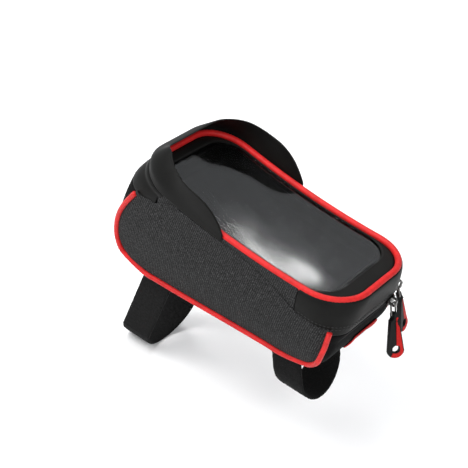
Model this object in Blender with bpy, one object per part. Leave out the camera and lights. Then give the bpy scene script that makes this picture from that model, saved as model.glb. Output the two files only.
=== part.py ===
"""Bicycle frame bag: a soft case that straps to the top tube, with a clear-topped lid,
a sun visor round the front of the window and a two-slider zip.

Frame: +X to the rear of the bicycle, -Y to the rider's left, +Z up.
Origin: on the underside of the base pad, where the bag sits on the top tube.
"""
import bmesh
import bpy
from math import cos, pi, radians, sin, sqrt
from mathutils import Matrix, Vector

MM = 0.001

# Window piping: the loop round the lid's top, in millimetres
RIM_FRONT = -92.7
RIM_REAR = 90.5
RIM_HALF_WIDTH = 48.0
RIM_CORNER = 30.0
RIM_MID_HEIGHT = 77.9
RIM_SLOPE = 0.0993
RIM_RISE = 6.8
RIM_REACH = 91.0
PIPING_RADIUS = 2.5

# Lid walls, from the piping down to the zip
WALL_DEPTH = 20.0
REAR_EXTRA_DEPTH = 4.5
REAR_DEEPENING_START = 45.0
REAR_DEEPENING_LENGTH = 45.0
WALL_TOP_FLARE = 3.5
WALL_THICKNESS = 3.5
FRONT_NOTCH_X = -70.5
REAR_NOTCH_X = 55.5
NOTCH_RUN = 8.0

# Body: widths and lengths at the base and under the zip
BASE_FRONT = -86.0
BASE_REAR = 62.0
BASE_HALF_WIDTH = 35.0
BELLY_FRONT = -108.0
BELLY_LEVEL = 0.34
STERN_REAR = 87.0
STERN_LEVEL = 0.8
TOP_FRONT = -105.0
TOP_REAR = 91.5
TOP_HALF_WIDTH = 49.5
SIDE_SWELL = 1.6
EDGE_CORNER = 8.0
TOP_CORNER = 22.0
CORNER_START = 0.45
SHELL_THICKNESS = 3.0
SHELL_LEVELS = 9
INNER_LEVELS = (9, 7, 5, 3, 0)

# Base pad with the grooves that carry the straps
PAD_THICKNESS = 4.1
PAD_INSET = 1.5
STRAP_THICKNESS = 1.8
STRAP_WIDTH = 26.0
STRAP_CORNER = 2.6

# Straps: place, half width of the loop, depth, lean, round bottom
FRONT_STRAP_X = -69.0
FRONT_STRAP_HALF = 27.0
FRONT_STRAP_DEPTH = 82.0
FRONT_STRAP_LEAN = -0.19
FRONT_STRAP_ROUND = 22.0
REAR_STRAP_X = 46.5
REAR_STRAP_HALF = 25.0
REAR_STRAP_DEPTH = 42.0
REAR_STRAP_LEAN = 0.35
REAR_STRAP_ROUND = 22.0
FRONT_TAIL_START = -52.0
FRONT_TAIL_END = -22.0
REAR_TAIL_START = -17.0
REAR_TAIL_END = -6.0

# Side panels and their piping
SKIN = 1.5
FLAP_EDGE = 0.5
LEFT_FLAP = ((-68.0, 0.0), (-60.0, 5.5), (-52.0, 10.8), (-32.0, 16.9), (-10.0, 20.6),
             (24.0, 19.2), (40.0, 14.0), (56.0, 7.6), (79.0, 7.6))
RIGHT_FLAP = ((-68.0, 0.0), (-60.0, 5.5), (-52.0, 10.8), (-32.0, 16.9), (-10.0, 20.6),
              (20.0, 19.2), (36.0, 14.0), (48.0, 7.6), (58.0, -2.6))
PANEL_FRONT_TURN = 36.0
PANEL_REAR_TURN = 28.0
PANEL_CLEARANCE = 0.4
PANEL_FOOT_FRONT = -80.0
PANEL_FOOT_REAR = 56.0
PANEL_COLUMNS = 14
LOWER_PIPING_RADIUS = 2.0
PIPING_DROP = 1.4
PIPING_LIFT = 0.9
PIPING_TOP_LEVELS = {-1: 1.0, 1: 0.88}

# Zip
ZIP_HALF_GAP = 3.0
TAPE_THICKNESS = 1.2
TAPE_OVERLAP = 5.0
TOOTH_PITCH = 8.0
TOOTH_WIDTH = 1.6
TOOTH_SLOPE = 0.5
TOOTH_REACH = 1.1
ZIP_END_SPACE = 5.0
STOP_PLACE = 7.0
STOP_LENGTH = 2.4
STOP_THICKNESS = 2.0
STOP_HEIGHT = 4.8

# Lid top
FRAME_THICKNESS = 3.0
FRAME_FRONT = -80.0
FRAME_REAR = 73.0
FRAME_HALF_WIDTH = 42.0
FRAME_CORNER = 20.0
FILM_THICKNESS = 0.8
BORDER_THICKNESS = 1.2
BORDER_FRONT = -82.0
BORDER_REAR = 75.0
BORDER_HALF_WIDTH = 43.8
BORDER_CORNER = 22.0
POCKET_DEPTH = 12.5
POCKET_THICKNESS = 1.0
POCKET_MARGIN = 1.5
POCKET_MOUTH_X = 64.0

# Visor: end, height and lean along the rim
VISOR_THICKNESS = 1.5
VISOR_END_X = -11.0
VISOR_HEIGHTS = ((-97.0, 9.0), (-90.0, 16.0), (-80.0, 20.0), (-65.0, 21.5), (-50.0, 20.0),
                 (-35.0, 18.5), (-24.0, 14.5), (-16.0, 8.0), (-11.0, 2.0))
VISOR_LEANS = ((-97.0, -10.0), (-80.0, -11.0), (-50.0, 0.7), (-11.0, 0.0))

# Sliders, wire loops and pullers
SLIDER_LENGTH = 9.0
SLIDER_HEIGHT = 8.0
SLIDER_PLATE = 1.4
SLIDER_CORE_HEIGHT = 4.6
NEAR_SLIDER_Y = 25.5
FAR_SLIDER_ANGLE = 48.0
SLIDER_STAND = 0.6
SLIDER_NARROW_HEIGHT = 6.2
SLIDER_CORE_LENGTH = 6.4
BRIDGE_RISE = 4.4
BRIDGE_THICKNESS = 1.4
BRIDGE_WIDTH = 1.6
BRIDGE_LENGTH = 7.6
LOOP_WIRE = 0.7
LOOP_WIDTH = 6.0
LOOP_LENGTH = 9.0
LOOP_CORNER = 1.0
PULLER_LENGTH = 42.0
PULLER_NECK_WIDTH = 3.6
PULLER_TOP_WIDTH = 7.0
PULLER_FOOT_WIDTH = 11.5
PULLER_THICKNESS = 4.0
PULLER_HOLE = 2.8
PULLER_EYE = 1.1
PULLER_EYE_WALL = 0.9
PULLER_HOLE_PLACE = 32.0
PULLER_SHOULDER = 2.0
PULLER_TAPER = 2.4
PULLER_BEVEL = 0.8
INLAY_THICKNESS = 0.8
INLAY_SINK = 0.5
INLAY_START = 7.0
INLAY_LEFT = 0.5
INLAY_HOLE_RIM = 0.9
INLAY_SWEEP = 130.0
INLAY_EDGE = 0.2
NEAR_HANG_ANGLE = 20.0
FAR_HANG_ANGLE = 17.0

# Rear patch
PATCH_Y = 8.0
PATCH_WIDTH = 32.0
PATCH_LOW = 0.24
PATCH_HIGH = 0.56
PATCH_THICKNESS = 1.2

# Clearances
GAP = 0.3


def smooth(value):
    """Ease from 0 to 1."""
    value = min(max(value, 0.0), 1.0)
    return value * value * (3.0 - 2.0 * value)


def along(table, x):
    """Read a value from a table of (x, value) pairs."""
    if x <= table[0][0]:
        return table[0][1]
    for (x0, v0), (x1, v1) in zip(table, table[1:]):
        if x <= x1:
            return v0 + (v1 - v0) * (x - x0) / (x1 - x0)
    return table[-1][1]


def rim_height(x):
    """Height of the window piping: it slopes to the rear and dips in the middle."""
    return RIM_MID_HEIGHT - RIM_SLOPE * x + RIM_RISE * (x / RIM_REACH) ** 2


def wall_foot(x):
    """Height of the lid walls' lower edge."""
    deepening = smooth((x - REAR_DEEPENING_START) / REAR_DEEPENING_LENGTH)
    return rim_height(x) - WALL_DEPTH - REAR_EXTRA_DEPTH * deepening


def zip_height(x):
    """Height of the middle of the zip."""
    return wall_foot(x) - ZIP_HALF_GAP


def body_top(x):
    """Height of the body's upper edge: under the zip, and close under the lid at the front."""
    opening = smooth((x - FRONT_NOTCH_X + NOTCH_RUN) / NOTCH_RUN)
    return wall_foot(x) - 2 * GAP - (2 * ZIP_HALF_GAP - 2 * GAP) * opening


BODY_FOOT = PAD_THICKNESS + GAP


def body_plan(level):
    """Front, rear, half width and corner radius of the body at a level from 0 to 1."""
    if level < BELLY_LEVEL:
        share = sqrt(max(1.0 - (1.0 - level / BELLY_LEVEL) ** 2, 0.0))
        front = BASE_FRONT + (BELLY_FRONT - BASE_FRONT) * share
    else:
        share = (level - BELLY_LEVEL) / (1.0 - BELLY_LEVEL)
        front = BELLY_FRONT + (TOP_FRONT - BELLY_FRONT) * share
    if level < STERN_LEVEL:
        share = sqrt(max(1.0 - (1.0 - level / STERN_LEVEL) ** 2, 0.0))
        rear = BASE_REAR + (STERN_REAR - BASE_REAR) * share
    else:
        share = (level - STERN_LEVEL) / (1.0 - STERN_LEVEL)
        rear = STERN_REAR + (TOP_REAR - STERN_REAR) * share
    swell = 1.0 - (1.0 - level) ** SIDE_SWELL
    half = BASE_HALF_WIDTH + (TOP_HALF_WIDTH - BASE_HALF_WIDTH) * swell
    turn = max((level - CORNER_START) / (1.0 - CORNER_START), 0.0) ** 1.5
    corner = EDGE_CORNER + (TOP_CORNER - EDGE_CORNER) * turn
    return front, rear, half, corner


def plan_points(front, rear, half, corner, arc=6, side=12, end=4):
    """A rounded rectangle in plan, from the rear's left tangent round by the left and the front."""
    points = []
    centres = ((rear - corner, -half + corner, 0.0), (front + corner, -half + corner, -90.0),
               (front + corner, half - corner, -180.0), (rear - corner, half - corner, -270.0))
    straights = (side, end, side, end)
    for index, (cx, cy, start) in enumerate(centres):
        for step in range(arc + 1):
            angle = radians(start - 90.0 * step / arc)
            points.append((cx + corner * cos(angle), cy + corner * sin(angle)))
        nx, ny, nstart = centres[(index + 1) % 4]
        angle = radians(nstart)
        last = points[-1]
        following = (nx + corner * cos(angle), ny + corner * sin(angle))
        count = straights[index]
        for step in range(1, count):
            share = step / count
            points.append((last[0] + (following[0] - last[0]) * share,
                           last[1] + (following[1] - last[1]) * share))
    return points


def body_ring(level, inset=0.0, height=None, foot=BODY_FOOT):
    """Points of the body's outline at a level, moved inwards by the inset."""
    front, rear, half, corner = body_plan(level)
    plan = plan_points(front + inset, rear - inset, half - inset, max(corner - inset, 1.5))
    ring = []
    for x, y in plan:
        z = height if height is not None else foot + level * (body_top(x) - foot)
        ring.append(Vector((x, y, z)))
    return ring


def material(name, colour, roughness, metallic=0.0, alpha=1.0):
    """A Principled material, made once."""
    found = bpy.data.materials.get(name)
    if found:
        return found
    made = bpy.data.materials.new(name)
    made.use_nodes = True
    shader = made.node_tree.nodes["Principled BSDF"]
    shader.inputs["Base Color"].default_value = (*colour, 1.0)
    shader.inputs["Roughness"].default_value = roughness
    shader.inputs["Metallic"].default_value = metallic
    shader.inputs["Alpha"].default_value = alpha
    made.diffuse_color = (*colour, alpha)
    return made


def heather():
    return material("heather_cloth", (0.045, 0.045, 0.047), 0.9)


def black_cloth():
    return material("black_cloth", (0.012, 0.012, 0.013), 0.85)


def satin_black():
    return material("coated_black", (0.02, 0.02, 0.02), 0.4)


def red_piping():
    return material("red_piping", (0.75, 0.03, 0.03), 0.5)


def steel():
    return material("zip_metal", (0.45, 0.45, 0.46), 0.25, 1.0)


def rubber():
    return material("puller_rubber", (0.015, 0.015, 0.015), 0.6)


def add_object(name, bm, finish, soft=True):
    """Turn a bmesh given in millimetres into a named object in metres."""
    bmesh.ops.remove_doubles(bm, verts=bm.verts, dist=0.001)
    bmesh.ops.recalc_face_normals(bm, faces=bm.faces)
    bmesh.ops.scale(bm, vec=(MM, MM, MM), verts=bm.verts)
    mesh = bpy.data.meshes.new(name)
    bm.to_mesh(mesh)
    bm.free()
    if soft:
        mesh.shade_smooth()
        mesh.set_sharp_from_angle(angle=radians(40))
    mesh.materials.append(finish)
    made = bpy.data.objects.new(name, mesh)
    bpy.context.scene.collection.objects.link(made)
    return made


def loft(rings, closed=True, capped=True):
    """Skin a list of rings that have the same number of points."""
    bm = bmesh.new()
    rows = [[bm.verts.new(point) for point in ring] for ring in rings]
    count = len(rows[0])
    for lower, upper in zip(rows, rows[1:]):
        for step in range(count if closed else count - 1):
            other = (step + 1) % count
            bm.faces.new((lower[step], lower[other], upper[other], upper[step]))
    if capped:
        bm.faces.new(list(reversed(rows[0])))
        bm.faces.new(rows[-1])
    return bm


def wall_ring(rings):
    """Skin rings and join the last ring to the first, for a closed wall with a hole through it."""
    bm = bmesh.new()
    rows = [[bm.verts.new(point) for point in ring] for ring in rings]
    count = len(rows[0])
    for index, lower in enumerate(rows):
        upper = rows[(index + 1) % len(rows)]
        for step in range(count):
            other = (step + 1) % count
            bm.faces.new((lower[step], lower[other], upper[other], upper[step]))
    return bm


def keep_side(bm, place, outward):
    """Cut the mesh with a plane, drop what lies outward of it and close the cut."""
    geometry = bm.verts[:] + bm.edges[:] + bm.faces[:]
    bmesh.ops.bisect_plane(bm, geom=geometry, dist=0.0001, plane_co=place, plane_no=outward,
                           clear_outer=True)
    open_edges = [edge for edge in bm.edges if edge.is_boundary]
    bmesh.ops.holes_fill(bm, edges=open_edges, sides=0)


def box(bm, low, high, turn=None, place=None):
    """Add a box between two corners, turned and then moved."""
    made = bmesh.ops.create_cube(bm, size=1.0)
    size = [h - l for l, h in zip(low, high)]
    middle = [(h + l) / 2 for l, h in zip(low, high)]
    bmesh.ops.scale(bm, vec=size, verts=made["verts"])
    bmesh.ops.translate(bm, vec=middle, verts=made["verts"])
    if turn is not None:
        bmesh.ops.rotate(bm, cent=(0, 0, 0), matrix=turn, verts=made["verts"])
    if place is not None:
        bmesh.ops.translate(bm, vec=place, verts=made["verts"])
    return made["verts"]


def boolean(target, cutter, operation):
    """Apply a Boolean between two objects and remove the second."""
    modifier = target.modifiers.new(operation.lower(), "BOOLEAN")
    modifier.operation = operation
    modifier.object = cutter
    modifier.solver = "EXACT"
    graph = bpy.context.evaluated_depsgraph_get()
    mesh = bpy.data.meshes.new_from_object(target.evaluated_get(graph))
    target.modifiers.clear()
    target.data = mesh
    bpy.data.objects.remove(cutter)


def tube(name, points, radius, finish, cyclic=False, resolution=2):
    """A round cord along points given in millimetres, as a mesh object."""
    curve = bpy.data.curves.new(name, "CURVE")
    curve.dimensions = "3D"
    curve.bevel_depth = radius * MM
    curve.bevel_resolution = resolution
    curve.use_fill_caps = not cyclic
    spline = curve.splines.new("POLY")
    spline.points.add(len(points) - 1)
    for slot, point in zip(spline.points, points):
        slot.co = (point[0] * MM, point[1] * MM, point[2] * MM, 1.0)
    spline.use_cyclic_u = cyclic
    curve.materials.append(finish)
    made = bpy.data.objects.new(name, curve)
    bpy.context.scene.collection.objects.link(made)
    return made


def shell_level(step):
    """Levels of the shell's rings, closer together near the foot."""
    return (step / SHELL_LEVELS) ** 1.3


def make_body_shell():
    """The padded tub: base, sides, front and stern, open at the top."""
    rings = [body_ring(shell_level(step)) for step in range(SHELL_LEVELS + 1)]
    floor = BODY_FOOT + SHELL_THICKNESS
    for step in INNER_LEVELS:
        ring = body_ring(shell_level(step), SHELL_THICKNESS)
        for point in ring:
            share = (point.z - BODY_FOOT) / (body_top(point.x) - BODY_FOOT)
            point.z = floor + share * (body_top(point.x) - floor)
        rings.append(ring)
    return add_object("body_shell", loft(rings), black_cloth())


def pad_slots(centre_x, half):
    """Boxes that cut a strap's groove and its two slots out of the base pad."""
    reach = STRAP_WIDTH / 2 + GAP
    groove = PAD_THICKNESS - STRAP_THICKNESS - GAP
    side = half + STRAP_THICKNESS / 2 + GAP
    inner = half - STRAP_THICKNESS / 2 - STRAP_CORNER
    return (((centre_x - reach, -side, groove), (centre_x + reach, side, PAD_THICKNESS + 1.0)),
            ((centre_x - reach, -side, -1.0), (centre_x + reach, -inner, PAD_THICKNESS + 1.0)),
            ((centre_x - reach, inner, -1.0), (centre_x + reach, side, PAD_THICKNESS + 1.0)))


def make_base_pad():
    """The non-slip pad that sits on the tube, slotted for the two straps."""
    plan = plan_points(BASE_FRONT + PAD_INSET, BASE_REAR - PAD_INSET,
                       BASE_HALF_WIDTH - PAD_INSET, EDGE_CORNER)
    rings = [[Vector((x, y, z)) for x, y in plan] for z in (0.0, PAD_THICKNESS)]
    pad = add_object("base_pad", loft(rings), rubber())
    for centre_x, half in ((FRONT_STRAP_X, FRONT_STRAP_HALF), (REAR_STRAP_X, REAR_STRAP_HALF)):
        for low, high in pad_slots(centre_x, half):
            bm = bmesh.new()
            box(bm, low, high)
            boolean(pad, add_object("pad_cutter", bm, rubber()), "DIFFERENCE")
    return pad


def strap_path(half, depth, round_bottom, tail_start, tail_end):
    """Centre line of a strap in (y, z): up one side, across the pad, down and round the tube."""
    top = PAD_THICKNESS - STRAP_THICKNESS / 2
    overlap = STRAP_THICKNESS + GAP
    low = -(depth - round_bottom)
    path = [(half, tail_start)]
    for turn in (0.0, 30.0, 60.0, 90.0):
        angle = radians(turn)
        path.append((half - STRAP_CORNER + STRAP_CORNER * cos(angle),
                     top - STRAP_CORNER + STRAP_CORNER * sin(angle)))
    for turn in (90.0, 120.0, 150.0, 180.0):
        angle = radians(turn)
        path.append((-half + STRAP_CORNER + STRAP_CORNER * cos(angle),
                     top - STRAP_CORNER + STRAP_CORNER * sin(angle)))
    steps = 14
    for step in range(steps + 1):
        angle = pi * step / steps
        middle = overlap / 2
        path.append((middle - (half + middle) * cos(angle), low - round_bottom * sin(angle)))
    path.append((half + overlap, tail_end))
    return path


def strap(name, centre_x, half, depth, lean, round_bottom, tail_start, tail_end):
    """A webbing strap with its overlapping tail."""
    path = strap_path(half, depth, round_bottom, tail_start, tail_end)
    rings = []
    for index, (y, z) in enumerate(path):
        before = path[max(index - 1, 0)]
        after = path[min(index + 1, len(path) - 1)]
        run = Vector((after[0] - before[0], after[1] - before[1])).normalized()
        side = Vector((-run.y, run.x)) * (STRAP_THICKNESS / 2)
        ring = []
        for across, through in ((-1, -1), (1, -1), (1, 1), (-1, 1)):
            py = y + side.x * through
            pz = z + side.y * through
            px = centre_x + across * STRAP_WIDTH / 2 + lean * max(-z, 0.0)
            ring.append(Vector((px, py, pz)))
        rings.append(ring)
    return add_object(name, loft(rings), black_cloth())


def wall_plan(share):
    """Front, rear, half width and corner of the lid walls, from their foot (0) to the rim (1)."""
    front = TOP_FRONT + (RIM_FRONT - WALL_TOP_FLARE - TOP_FRONT) * share
    rear = TOP_REAR + (RIM_REAR + WALL_TOP_FLARE - TOP_REAR) * share
    half = TOP_HALF_WIDTH + (RIM_HALF_WIDTH + WALL_TOP_FLARE - TOP_HALF_WIDTH) * share
    corner = TOP_CORNER + (RIM_CORNER + WALL_TOP_FLARE - TOP_CORNER) * share
    return front, rear, half, corner


def surface_point(plan, x, z, offset, side):
    """A point on the side surface, moved outwards by the offset; side is -1 left, 1 right."""
    front, rear, half, corner = plan
    reach = half + offset
    bend = corner + offset
    beyond = max(front + corner - x, x - (rear - corner), 0.0)
    beyond = min(beyond, bend * 0.98)
    y = reach - bend + sqrt(bend * bend - beyond * beyond)
    return Vector((x, side * y, z))


def edge_point(level, end, turn, side):
    """A point on a corner of the body: end is -1 front, 1 rear; the turn is from the side face."""
    front, rear, half, corner = body_plan(level)
    centre = rear - corner if end > 0 else front + corner
    x = centre + end * corner * sin(turn)
    y = side * (half - corner + corner * cos(turn))
    return Vector((x, y, BODY_FOOT + level * (body_top(x) - BODY_FOOT)))


def piping_point(level, end, side):
    """Centre of the lower piping on a corner, lifted off the surface along its normal."""
    turn = radians(PANEL_REAR_TURN if end > 0 else PANEL_FRONT_TURN)
    low, high = max(level - 0.01, 0.0), min(level + 0.01, 1.0)
    place = edge_point(level, end, turn, side)
    rise = edge_point(high, end, turn, side) - edge_point(low, end, turn, side)
    round_it = edge_point(level, end, turn + 0.05, side) - edge_point(level, end, turn - 0.05, side)
    normal = rise.cross(round_it).normalized()
    if normal.y * side < 0:
        normal = -normal
    lift = GAP + PIPING_LIFT * (1.0 - smooth(level / 0.4))
    return place + normal * (LOWER_PIPING_RADIUS + lift)


def panel_edge(level, end):
    """The x where a side panel ends, clear of the piping."""
    if level < shell_level(1.5):
        return PANEL_FOOT_REAR if end > 0 else PANEL_FOOT_FRONT
    seam = LOWER_PIPING_RADIUS + 2 * GAP
    low, high = max(level - 0.01, 0.0), min(level + 0.01, 1.0)
    above, below = piping_point(high, end, 1), piping_point(low, end, 1)
    slope = (above.x - below.x) / (above.z - below.z)
    return piping_point(level, end, 1).x - end * seam * sqrt(1.0 + slope * slope)


def panel_columns(level, offset):
    """The x of a side panel's columns at a level: close together round both corners."""
    front, rear, half, corner = body_plan(level)
    ends = []
    for end, centre in ((-1, front + corner), (1, rear - corner)):
        edge = panel_edge(level, end)
        reach = (edge - centre) * end
        if reach > 0.0:
            turn = min(reach / (corner + offset), 0.98)
            steps = [centre + end * (corner + offset) * turn * (1.0 - (step / 3) ** 2)
                     for step in range(4)]
        else:
            steps = [edge - end * 2.0 * step for step in range(4)]
        ends.append(steps)
    first, last = ends[0][3], ends[1][3]
    middle = [first + (last - first) * step / PANEL_COLUMNS for step in range(1, PANEL_COLUMNS)]
    return ends[0] + middle + list(reversed(ends[1]))


def make_side_panel(name, side):
    """A heather side panel with its upper edge arched over the zip as a storm flap."""
    flap = LEFT_FLAP if side < 0 else RIGHT_FLAP
    sheets = []
    for offset in (PANEL_CLEARANCE, PANEL_CLEARANCE + SKIN):
        rows = []
        for step in range(1, SHELL_LEVELS + 1):
            level = shell_level(step)
            plan = body_plan(level)
            row = []
            for x in panel_columns(level, PANEL_CLEARANCE):
                high = body_top(x) + min(along(flap, x), 0.0)
                z = BODY_FOOT + level * (high - BODY_FOOT)
                row.append(surface_point(plan, x, z, offset, side))
            rows.append(row)
        top = [point.x for point in rows[-1]]
        for share in (0.35, 0.7, 1.0):
            row = []
            for x in top:
                stand = along(flap, x)
                z = body_top(x) + min(stand, 0.0) + (max(stand, 0.0) + FLAP_EDGE) * share
                wall = max((z - wall_foot(x)) / (rim_height(x) - wall_foot(x)), 0.0)
                rise = wall_plan(wall)[2] - TOP_HALF_WIDTH
                row.append(surface_point(wall_plan(0.0), x, z, offset + rise, side))
            rows.append(row)
        sheets.append(rows)
    bm = bmesh.new()
    inner, outer = ([[bm.verts.new(point) for point in row] for row in rows] for rows in sheets)
    for rows in (inner, outer):
        for low, high in zip(rows, rows[1:]):
            for a, b, c, d in zip(low, low[1:], high[1:], high):
                bm.faces.new((a, b, c, d))
    border_in = rim_of(inner)
    border_out = rim_of(outer)
    for a, b, c, d in zip(border_in, border_in[1:] + border_in[:1],
                          border_out[1:] + border_out[:1], border_out):
        bm.faces.new((a, b, c, d))
    return add_object(name, bm, heather())


def rim_of(rows):
    """The border of a grid of vertices, in order."""
    border = list(rows[0])
    border += [row[-1] for row in rows[1:]]
    border += list(reversed(rows[-1][:-1]))
    border += [row[0] for row in reversed(rows[1:-1])]
    return border


def make_lower_piping(name, side):
    """Red piping along the front, the foot and the rear of a side panel."""
    levels = (1.0, 0.93, 0.84, 0.74, 0.64, 0.54, 0.45, 0.38, 0.3, 0.23, 0.17, 0.12, 0.08,
              0.05)
    path = [piping_point(level, -1, side) for level in levels]
    offset = LOWER_PIPING_RADIUS + 2 * GAP
    steps = 10
    start, end = BASE_FRONT + EDGE_CORNER, BASE_REAR - EDGE_CORNER
    for step in range(steps + 1):
        x = start + (end - start) * step / steps
        path.append(surface_point(body_plan(0.0), x, BODY_FOOT - PIPING_DROP, offset, side))
    top = PIPING_TOP_LEVELS[side]
    path += [piping_point(level, 1, side) for level in reversed(levels) if level <= top]
    return tube(name, path, LOWER_PIPING_RADIUS, red_piping())


def lid_wall():
    """The closed ring of the lid's walls, as a mesh to be cut into its lengths."""
    rings = []
    for share in (0.0, 0.33, 0.66, 1.0):
        rings.append(wall_loop(share, 0.0))
    for share in (1.0, 0.0):
        rings.append(wall_loop(share, WALL_THICKNESS))
    return wall_ring(rings)


def wall_loop(share, inset):
    """One loop of the lid's walls at a share of their height."""
    front, rear, half, corner = wall_plan(share)
    plan = plan_points(front + inset, rear - inset, half - inset, corner - inset)
    loop = []
    for x, y in plan:
        top = rim_height(x) - PIPING_RADIUS - GAP
        loop.append(Vector((x, y, wall_foot(x) + share * (top - wall_foot(x)))))
    return loop


def make_lid_walls():
    """Front and rear bands and the two heather strips between them."""
    half_gap = GAP / 2
    front = lid_wall()
    keep_side(front, (FRONT_NOTCH_X - half_gap, 0, 0), (1, 0, 0))
    add_object("front_band", front, satin_black())
    rear = lid_wall()
    keep_side(rear, (REAR_NOTCH_X + half_gap, 0, 0), (-1, 0, 0))
    add_object("rear_band", rear, satin_black())
    for name, side in (("left_rim_strip", -1), ("right_rim_strip", 1)):
        strip = lid_wall()
        keep_side(strip, (FRONT_NOTCH_X + half_gap, 0, 0), (-1, 0, 0))
        keep_side(strip, (REAR_NOTCH_X - half_gap, 0, 0), (1, 0, 0))
        keep_side(strip, (0, 0, 0), (0, -side, 0))
        add_object(name, strip, heather())


def saddle_loop(front, rear, half, corner, drop, arc=6, side=12, end=4):
    """A rounded rectangle that follows the rim's height, lowered by the drop."""
    plan = plan_points(front, rear, half, corner, arc, side, end)
    return [Vector((x, y, rim_height(x) - drop)) for x, y in plan]


def make_window_piping():
    """The red piping that closes the lid's top edge all round."""
    loop = saddle_loop(RIM_FRONT, RIM_REAR, RIM_HALF_WIDTH, RIM_CORNER, 0.0, arc=8, side=10)
    return tube("window_piping", loop, PIPING_RADIUS, red_piping(), cyclic=True)


def frame_drop():
    """How far the lid board's top lies under the rim."""
    return PIPING_RADIUS + GAP


def make_lid_frame():
    """The stiff board under the window, with the window's opening."""
    outer = (RIM_FRONT - WALL_TOP_FLARE + WALL_THICKNESS + GAP * 2,
             RIM_REAR + WALL_TOP_FLARE - WALL_THICKNESS - GAP * 2,
             RIM_HALF_WIDTH + WALL_TOP_FLARE - WALL_THICKNESS - GAP * 2, RIM_CORNER)
    inner = (FRAME_FRONT, FRAME_REAR, FRAME_HALF_WIDTH, FRAME_CORNER)
    top = frame_drop()
    rings = [saddle_loop(*outer, top), saddle_loop(*inner, top),
             saddle_loop(*inner, top + FRAME_THICKNESS), saddle_loop(*outer, top + FRAME_THICKNESS)]
    return add_object("lid_frame", wall_ring(rings), black_cloth())


def film_outline():
    """Outline of the film and of its border, just inside the piping."""
    inset = PIPING_RADIUS + GAP
    return (RIM_FRONT + inset, RIM_REAR - inset, RIM_HALF_WIDTH - inset, RIM_CORNER - inset)


def make_window_film():
    """The clear sheet that the screen is used through."""
    top = frame_drop() - GAP - FILM_THICKNESS
    plan = film_outline()
    stations = 16
    front, rear, half, corner = plan
    rows = []
    for step in range(stations + 1):
        angle = pi * step / stations
        x = (front + rear) / 2 - (rear - front) / 2 * cos(angle)
        reach = surface_point(plan, x, 0.0, 0.0, 1).y
        if step in (0, stations):
            reach = half - corner
        row = []
        for y, lift in ((-reach, 0.0), (reach, 0.0), (reach, FILM_THICKNESS), (-reach, FILM_THICKNESS)):
            row.append(Vector((x, y, rim_height(x) - top - FILM_THICKNESS + lift)))
        rows.append(row)
    return add_object("window_film", loft(rows),
                      material("clear_film", (0.9, 0.92, 0.94), 0.1, 0.0, 0.3))


def make_window_border():
    """The black sewn border between the film and the piping."""
    outer = film_outline()
    inner = (BORDER_FRONT, BORDER_REAR, BORDER_HALF_WIDTH, BORDER_CORNER)
    low = frame_drop() - 2 * GAP - FILM_THICKNESS
    high = low - BORDER_THICKNESS
    rings = [saddle_loop(*outer, high), saddle_loop(*inner, high),
             saddle_loop(*inner, low), saddle_loop(*outer, low)]
    return add_object("window_border", wall_ring(rings), satin_black())


def make_phone_pocket():
    """The tray of cloth under the window, open at the rear."""
    top = frame_drop() + FRAME_THICKNESS + GAP
    outer = (FRAME_FRONT - POCKET_MARGIN, RIM_REAR, FRAME_HALF_WIDTH + POCKET_MARGIN, FRAME_CORNER)
    skin = POCKET_THICKNESS
    inner = (outer[0] + skin, outer[1] - skin, outer[2] - skin, outer[3] - skin)
    rings = [saddle_loop(*outer, top + POCKET_DEPTH, end=1), saddle_loop(*outer, top, end=1),
             saddle_loop(*inner, top, end=1), saddle_loop(*inner, top + POCKET_DEPTH - skin, end=1)]
    bm = loft(rings, capped=False)
    bm.verts.ensure_lookup_table()
    count = len(rings[0])
    cover(bm, bm.verts[:count])
    cover(bm, bm.verts[-count:])
    keep_side(bm, (POCKET_MOUTH_X, 0, 0), (1, 0, 0))
    return add_object("phone_pocket", bm, black_cloth())


def cover(bm, row, arc=6, side=12):
    """Fill a plan loop with strips across it, so that the fill follows the saddle."""
    count = len(row)
    run = 2 * arc + side
    pairs = [(row[step], row[(count - 1 - step) % count]) for step in range(run + 1)]
    for (a, b), (c, d) in zip(pairs, pairs[1:]):
        bm.faces.new((a, b, d, c))


def make_visor():
    """The sheet that stands round the front of the window and shades it."""
    offset = PIPING_RADIUS + GAP
    front, half, corner = RIM_FRONT - offset, RIM_HALF_WIDTH + offset, RIM_CORNER + offset
    path = []
    straight = 9
    for step in range(straight):
        path.append((VISOR_END_X + (front + corner - VISOR_END_X) * step / straight, -half, 0.0, -1.0))
    arc_steps = 9
    for step in range(arc_steps + 1):
        angle = pi / 2 * step / arc_steps
        path.append((front + corner - corner * sin(angle), -half + corner - corner * cos(angle),
                     -sin(angle), -cos(angle)))
    cross = 5
    for step in range(1, cross):
        path.append((front, (-half + corner) + 2 * (half - corner) * step / cross, -1.0, 0.0))
    for x, y, nx, ny in list(reversed(path[:straight + arc_steps + 1])):
        path.append((x, -y, nx, -ny))
    rings = []
    for x, y, nx, ny in path:
        base = rim_height(x) - PIPING_RADIUS
        height = along(VISOR_HEIGHTS, x) + PIPING_RADIUS
        lean = along(VISOR_LEANS, x)
        upright = min((2 * PIPING_RADIUS + GAP) / height, 0.9)
        shares = [(0.0, 0.0), (upright, 0.0), ((1.0 + upright) / 2, 0.42), (1.0, 1.0)]
        ring = []
        for share, bend in shares:
            push = lean * bend
            ring.append(Vector((x + nx * push, y + ny * push, base + height * share)))
        for share, bend in reversed(shares):
            push = lean * bend + VISOR_THICKNESS
            ring.append(Vector((x + nx * push, y + ny * push, base + height * share)))
        rings.append(ring)
    return add_object("visor", loft(rings), satin_black())


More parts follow.
